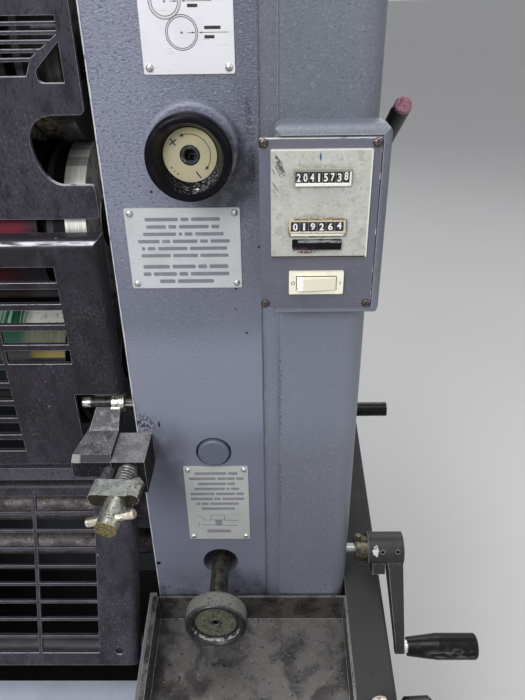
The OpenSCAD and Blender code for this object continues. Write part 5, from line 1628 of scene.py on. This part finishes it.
class PRESS_OT_diagrams(bpy.types.Operator):
    """Makes the plain ring and block diagrams of the upper and lower plates"""

    bl_idname = "press.diagrams"
    bl_label = "Diagrams"

    def execute(self, context):
        thin, line = 0.06 * MM, 0.5 * MM
        low, _ = corners("instruction_plate_top")
        face = low[1] - 0.02 * MM
        rings, tints = [], []
        for x, z, inner, outer in (
            (20.9 * MM, 52.3 * MM, 10.2 * MM, 12.4 * MM), (32.8 * MM, 30.4 * MM, 11.2 * MM, 12.7 * MM),
        ):
            centre = (low[0] + x, face, low[2] + z)
            for radius in (inner, outer):
                rings.append(
                    placed(washer(radius - line / 2, radius + line / 2, thin, thin / 4, 96), centre)
                )
            tints.append(placed(washer(inner + line, outer - line, thin, thin / 4, 96), centre))
            cross = [((-1.2 * MM, 0), (1.2 * MM, 0)), ((0, -1.2 * MM), (0, 1.2 * MM))]
            rings += [placed(ribbon(path, [line, line], thin), centre) for path in cross]
            reach = outer + 0.6 * MM
            rings.append(
                placed(
                    arrow((outer - 8 * MM, 0), (inner - 0.4 * MM, 0), line * 0.8, 2.6 * MM, thin), centre,
                )
            )
            rings.append(placed(arrow((outer + 24 * MM, 0), (reach, 0), line * 0.8, 2.6 * MM, thin), centre))
            for dx, dz, share in ((11.6 * MM, 3.4 * MM, 13 * MM), (9 * MM, -3.2 * MM, 8 * MM)):
                bar = slab(share, 2.4 * MM, 0.6 * MM, thin)
                rings.append(placed(bar, (centre[0] + outer + dx, face, centre[2] + dz)))
        piece("plate_rings", joined(rings), "press", "print_ink")
        piece("plate_tints", joined(tints), "press", "pale_ink")
        self.blocks(thin, line)
        return {"FINISHED"}

    def blocks(self, thin, line):
        """Block diagram of the lower plate: an outlined box, a filled block, a bar and lines with ticks."""
        low, _ = corners("instruction_plate_lower")
        corner = (low[0], low[1] - 0.02 * MM, low[2])

        def place(shape, x, z):
            return placed(shape, (corner[0] + x * MM, corner[1], corner[2] + z * MM))

        def path(points):
            return placed(ribbon(np.array(points) * MM, [line] * len(points), thin), corner)

        lines = [
            place(frame_ring(16.4 * MM, 8.4 * MM, 0.3 * MM, (line, line), thin, thin / 4), 35.8, 36),
            path([(21, 32), (27.6, 31.6)]), path([(44, 31.6), (60, 31)]),
            path([(17.3, 24.4), (32.6, 23.6)]), path([(40.6, 23.2), (59, 22.4)]),
            path([(11.6, 39.2), (17.6, 37.6)]), path([(18.8, 36.6), (18.8, 29)]),
            path([(12.6, 27.4), (12.6, 21)]),
        ]
        blocks = [place(slab(7.9 * MM, 9.2 * MM, 0.3 * MM, thin), 36.6, 27.2),
                  place(slab(28.8 * MM, 5.2 * MM, 0.3 * MM, thin), 36.3, 13.5)]
        piece("plate_block_lines", joined(lines), "press", "print_ink")
        piece("plate_blocks", joined(blocks), "press", "line_ink")


class PRESS_OT_dials(bpy.types.Operator):
    """Makes the dial cards of the four hand knobs with their plain marks"""

    bl_idname = "press.dials"
    bl_label = "Dials"

    def execute(self, context):
        looks = context.scene.press_looks
        for kind, depth, width, hole, finish in (
            ("pressure", looks.pressure_dial_depth, looks.pressure_dial_width, 8.4 * MM, "dial_cream"),
            ("numbering", looks.numbering_dial_depth, looks.numbering_dial_width, 6.6 * MM, "dial_dirty"),
        ):
            for side in ("right", "left"):
                body = kind + "_knob_" + side
                floor = front(body) + np.array([0, depth, 0])
                card = washer(hole, width / 2, 0.5 * MM, 0.15 * MM, 96)
                piece("dial_" + kind + "_" + side, placed(card, floor), body, finish)
                socket = washer(0.55 * hole, 0.97 * hole, 1.2 * MM, 1.0 * MM, 64)
                piece(
                    "dial_socket_" + kind + "_" + side,
                    placed(socket, floor + np.array([0, 0.5 * MM, 0])), body,
                    "socket_dark",
                )
                marks = turned_in_plane(self.marks(), looks.dial_turn)
                top = floor - np.array([0, 0.46 * MM, 0])
                ink = "print_ink" if kind == "pressure" else "dial_ink_faint"
                piece("dial_marks_" + kind + "_" + side, placed(marks, top), body, ink)
        return {"FINISHED"}

    def marks(self):
        """A two-headed arc with plus and minus beyond its ends, and three dots."""
        thin, line = 0.1 * MM, 1.15 * MM
        radius, half = 17.0 * MM, 77
        sign = np.array([(-3.4 * MM, 0), (3.4 * MM, 0)])
        shapes = [ribbon(arc_path(radius, -half, half, 41), [line * 0.55] * 41, thin)]
        for turn in (-half, half):
            head = arc_path(radius, turn * 0.88, turn * 1.05, 5)
            shapes.append(ribbon(head, np.array([0.2, 2.4, 2.0, 1.0, 0.3]) * line, thin * 1.1))
        plus, minus = arc_path(radius, 105, -105, 2)
        shapes.append(shifted(ribbon(sign, [line, line], thin), *plus))
        shapes.append(shifted(ribbon(sign[:, ::-1], [line, line], thin * 0.98), *plus))
        shapes.append(shifted(ribbon(sign[:, ::-1], [line, line], thin), *minus))
        for turn, width in ((176, 1.5), (187, 1.1), (198, 1.5)):
            spot = arc_path(radius + 1.6 * MM, turn, turn, 1)[0]
            shapes.append(shifted(slab(width * MM, width * MM, width * MM / 2, thin), *spot))
        return joined(shapes)


class PRESS_OT_counters(bpy.types.Operator):
    """Makes the window frames, number wheels and figures of the counters and the trim of the reset key"""

    bl_idname = "press.counters"
    bl_label = "Counters"

    def execute(self, context):
        looks = context.scene.press_looks
        self.window(
            "total", looks.total_figures, border=(1.5 * MM, 2.6 * MM), height=6.9 * MM, width=3.3 * MM,
            lift=0.0, frame_finish="counter_white", wheel_finish="wheel_black",
        )
        self.window(
            "job", looks.job_figures, border=(2.2 * MM, 2.0 * MM), height=6.4 * MM, width=4.0 * MM,
            lift=1.4 * MM, frame_finish="counter_rusty", wheel_finish="wheel_blue",
        )
        low, high = corners("job_counter")
        bar = slab(high[0] - low[0] - 4 * MM, 2.2 * MM, 0.5 * MM, 1.3 * MM, 0.4 * MM)
        spot = front("job_counter", z=low[2] + 2.0 * MM)
        piece("job_sill", placed(bar, spot), "press", "counter_white")
        key_low, key_high = corners("reset_key")
        plate, _ = corners("counter_plate")
        width, height = key_high[0] - key_low[0], key_high[2] - key_low[2]
        trim = frame_ring(
            width + 3.4 * MM, height + 3.0 * MM, 0.8 * MM, (1.2 * MM, 1.0 * MM), 0.7 * MM, 0.2 * MM,
        )
        spot = ((key_low[0] + key_high[0]) / 2, plate[1], (key_low[2] + key_high[2]) / 2)
        piece("key_trim", placed(trim, spot), "press", "counter_worn")
        return {"FINISHED"}

    def window(self, name, figures, border, height, width, lift, frame_finish, wheel_finish):
        """One counter: a frame in front of its block, and a row of curved wheels that carry the figures."""
        low, high = corners(name + "_counter")
        centre = front(name + "_counter") + UP * lift
        outer = (high[0] - low[0], high[2] - low[2] - 2 * lift)
        ring = frame_ring(outer[0], outer[1], 0.9 * MM, border, 1.6 * MM, 0.3 * MM)
        piece(name + "_frame", placed(ring, centre), "press", frame_finish)
        inner = outer[0] - 2 * border[0], outer[1] - 2 * border[1]
        pitch = inner[0] / len(figures)
        wheels, signs = [], []
        for place, figure in enumerate(figures):
            x = (place + 0.5) * pitch - inner[0] / 2
            wheels.append(placed(drum(pitch * 0.94, inner[1] * 1.02, 0.8 * MM), centre + RIGHT * x))
            rolled = 0.14 * height if place == len(figures) - 1 else 0.02 * height * (place % 3 - 1)
            sign = lettering(figure, height, width * (0.45 if figure == "1" else 1.0), 0.05 * MM, 0.03)
            signs.append(placed(sign, centre + RIGHT * x + UP * rolled - BACK * 0.84 * MM))
        piece(name + "_wheels", joined(wheels), "press", wheel_finish)
        piece(name + "_figures", joined(signs), "press", "figure_white")


class PRESS_OT_switch_marks(bpy.types.Operator):
    """Makes the sloping cap of the rocker switch and the plain O and I on its bezel"""

    bl_idname = "press.switch_marks"
    bl_label = "Switch"

    def execute(self, context):
        low, high = corners("rocker_switch")
        bezel_low, bezel_high = corners("switch_bezel")
        width, height = high[0] - low[0], 0.83 * (high[2] - low[2])
        middle_z = (bezel_low[2] + bezel_high[2]) / 2
        outline = np.array([
            (-0.5, 0.0), (0.5, 0.0), (0.5, 0.5 * MM), (-0.22, 3.2 * MM), (-0.46, 2.6 * MM), (-0.5, 2.0 * MM),
        ])
        section = np.column_stack([outline[:, 0] * width, outline[:, 1]])
        share = np.array([-0.5, -0.47, 0.47, 0.5])
        rings = []
        for part in share:
            inset = 0.35 * MM if abs(part) == 0.5 else 0.0
            ring = np.column_stack([section[:, 0], np.full(len(section), part * height), section[:, 1]])
            ring[2:, 2] = np.maximum(ring[2:, 2] - inset, 0.1 * MM)
            rings.append(ring)
        cap = placed(stacked(rings), front("rocker_switch", z=middle_z))
        piece("rocker_cap", cap, "rocker", "switch_cream")
        face = bezel_low[1]
        ring = washer(1.2 * MM, 1.75 * MM, 0.1 * MM, 0.03 * MM, 32)
        ring = placed(ring, (bezel_low[0] + 3.7 * MM, face, middle_z))
        stroke = slab(0.6 * MM, 3.6 * MM, 0.2 * MM, 0.1 * MM)
        stroke = placed(stroke, (bezel_high[0] - 3.0 * MM, face, middle_z))
        piece("switch_signs", joined([ring, stroke]), "press", "print_ink")
        return {"FINISHED"}


class PRESS_OT_screws(bpy.types.Operator):
    """Makes the cross-head screws of the counter panel and the small screw on the column"""

    bl_idname = "press.screws"
    bl_label = "Screws"

    def execute(self, context):
        looks = context.scene.press_looks
        low, high = corners("counter_panel")
        radius = looks.screw_width / 2
        inset = 3.9 * MM
        turn_per_metre = 900
        heads = []
        for x in (low[0] + inset, high[0] - inset):
            for z, turn in ((low[2] + inset, 20), (high[2] - inset, 52)):
                head = turned_in_plane(screw_head(radius, 2.3 * MM, 0.62 * MM), turn + turn_per_metre * x)
                heads.append(placed(head, (x, low[1], z)))
        piece("panel_screws", joined(heads), "press", "screw_dark")
        column, _ = corners("column_right")
        knob = front("numbering_knob_right")
        spot = (column[0] + 5.0 * MM, 0.0, knob[2] - 2.5 * MM)
        small = screw_head(2.6 * MM, 1.4 * MM, 0.4 * MM, arms=2)
        piece("column_screw", placed(small, spot), "press", "hole_black")
        return {"FINISHED"}


class PRESS_OT_clamp_bolts(bpy.types.Operator):
    """Makes the spring washers behind the clamp yokes and the studs on them"""

    bl_idname = "press.clamp_bolts"
    bl_label = "Clamp bolts"

    def execute(self, context):
        looks = context.scene.press_looks
        seat, back = screw_axis()
        aside = np.array([back[1], -back[0], 0.0]) / math.hypot(back[0], back[1])
        over = np.cross(aside, back)
        first_coil, coil_pitch = 2.4, 3.5
        for side in (1, -1):
            name = "right" if side > 0 else "left"
            coils = []
            for count in range(looks.washer_turns):
                spot = seat - back * (first_coil + coil_pitch * count) * MM
                points, faces = placed(looped(self.rings(9.3 * MM, 1.35 * MM)), spot, aside, over)
                coils.append((points * np.array([side, 1, 1]), faces))
            piece("spring_washers_" + name, joined(coils), "press", "washer_steel")
            stud = turned(
                [(3.9 * MM, 0), (3.9 * MM, 9 * MM), (3.3 * MM, 10 * MM), (1.8 * MM, 10.5 * MM)], 32,
            )
            spot = seat + aside * 15.5 * MM - back * 16 * MM + over * 6.5 * MM
            points, faces = placed(stud, spot, aside, -back)
            made = (points * np.array([side, 1, 1]), faces)
            piece("yoke_stud_" + name, made, "press", "washer_steel")
        return {"FINISHED"}

    def rings(self, radius, wire):
        """Circles of a torus, one inside the other round its section."""
        turn = np.linspace(0, 2 * np.pi, 10, endpoint=False)
        return [circle(radius + wire * math.cos(a), 48, height=wire * math.sin(a)) for a in turn]


class PRESS_PT_panel(bpy.types.Panel):
    """Lists the makers of the press's looks and what a user may change"""

    bl_idname = "PRESS_PT_panel"
    bl_label = "Offset press"
    bl_space_type = "VIEW_3D"
    bl_region_type = "UI"
    bl_category = "Press"

    def draw(self, context):
        looks = context.scene.press_looks
        for name in PressLooks.__annotations__:
            self.layout.prop(looks, name)
        for maker in STEPS:
            self.layout.operator(maker.bl_idname)


STEPS = (
    PRESS_OT_stage, PRESS_OT_finishes, PRESS_OT_rivets, PRESS_OT_prints, PRESS_OT_diagrams, PRESS_OT_dials,
    PRESS_OT_counters, PRESS_OT_switch_marks, PRESS_OT_screws, PRESS_OT_clamp_bolts,
)
CLASSES = (PressLooks, *STEPS, PRESS_PT_panel)


def register():
    """Registers the classes and hangs the settings on the scene."""
    for made in CLASSES:
        bpy.utils.register_class(made)
    bpy.types.Scene.press_looks = PointerProperty(type=PressLooks)


def unregister():
    """Takes the settings and classes away again."""
    del bpy.types.Scene.press_looks
    for made in reversed(CLASSES):
        bpy.utils.unregister_class(made)


def main():
    """Builds the whole scene."""
    register()
    bpy.ops.press.stage()
    bpy.ops.press.finishes()
    bpy.ops.press.rivets()
    bpy.ops.press.prints()
    bpy.ops.press.diagrams()
    bpy.ops.press.dials()
    bpy.ops.press.counters()
    bpy.ops.press.switch_marks()
    bpy.ops.press.screws()
    bpy.ops.press.clamp_bolts()


if __name__ == "__main__":
    main()
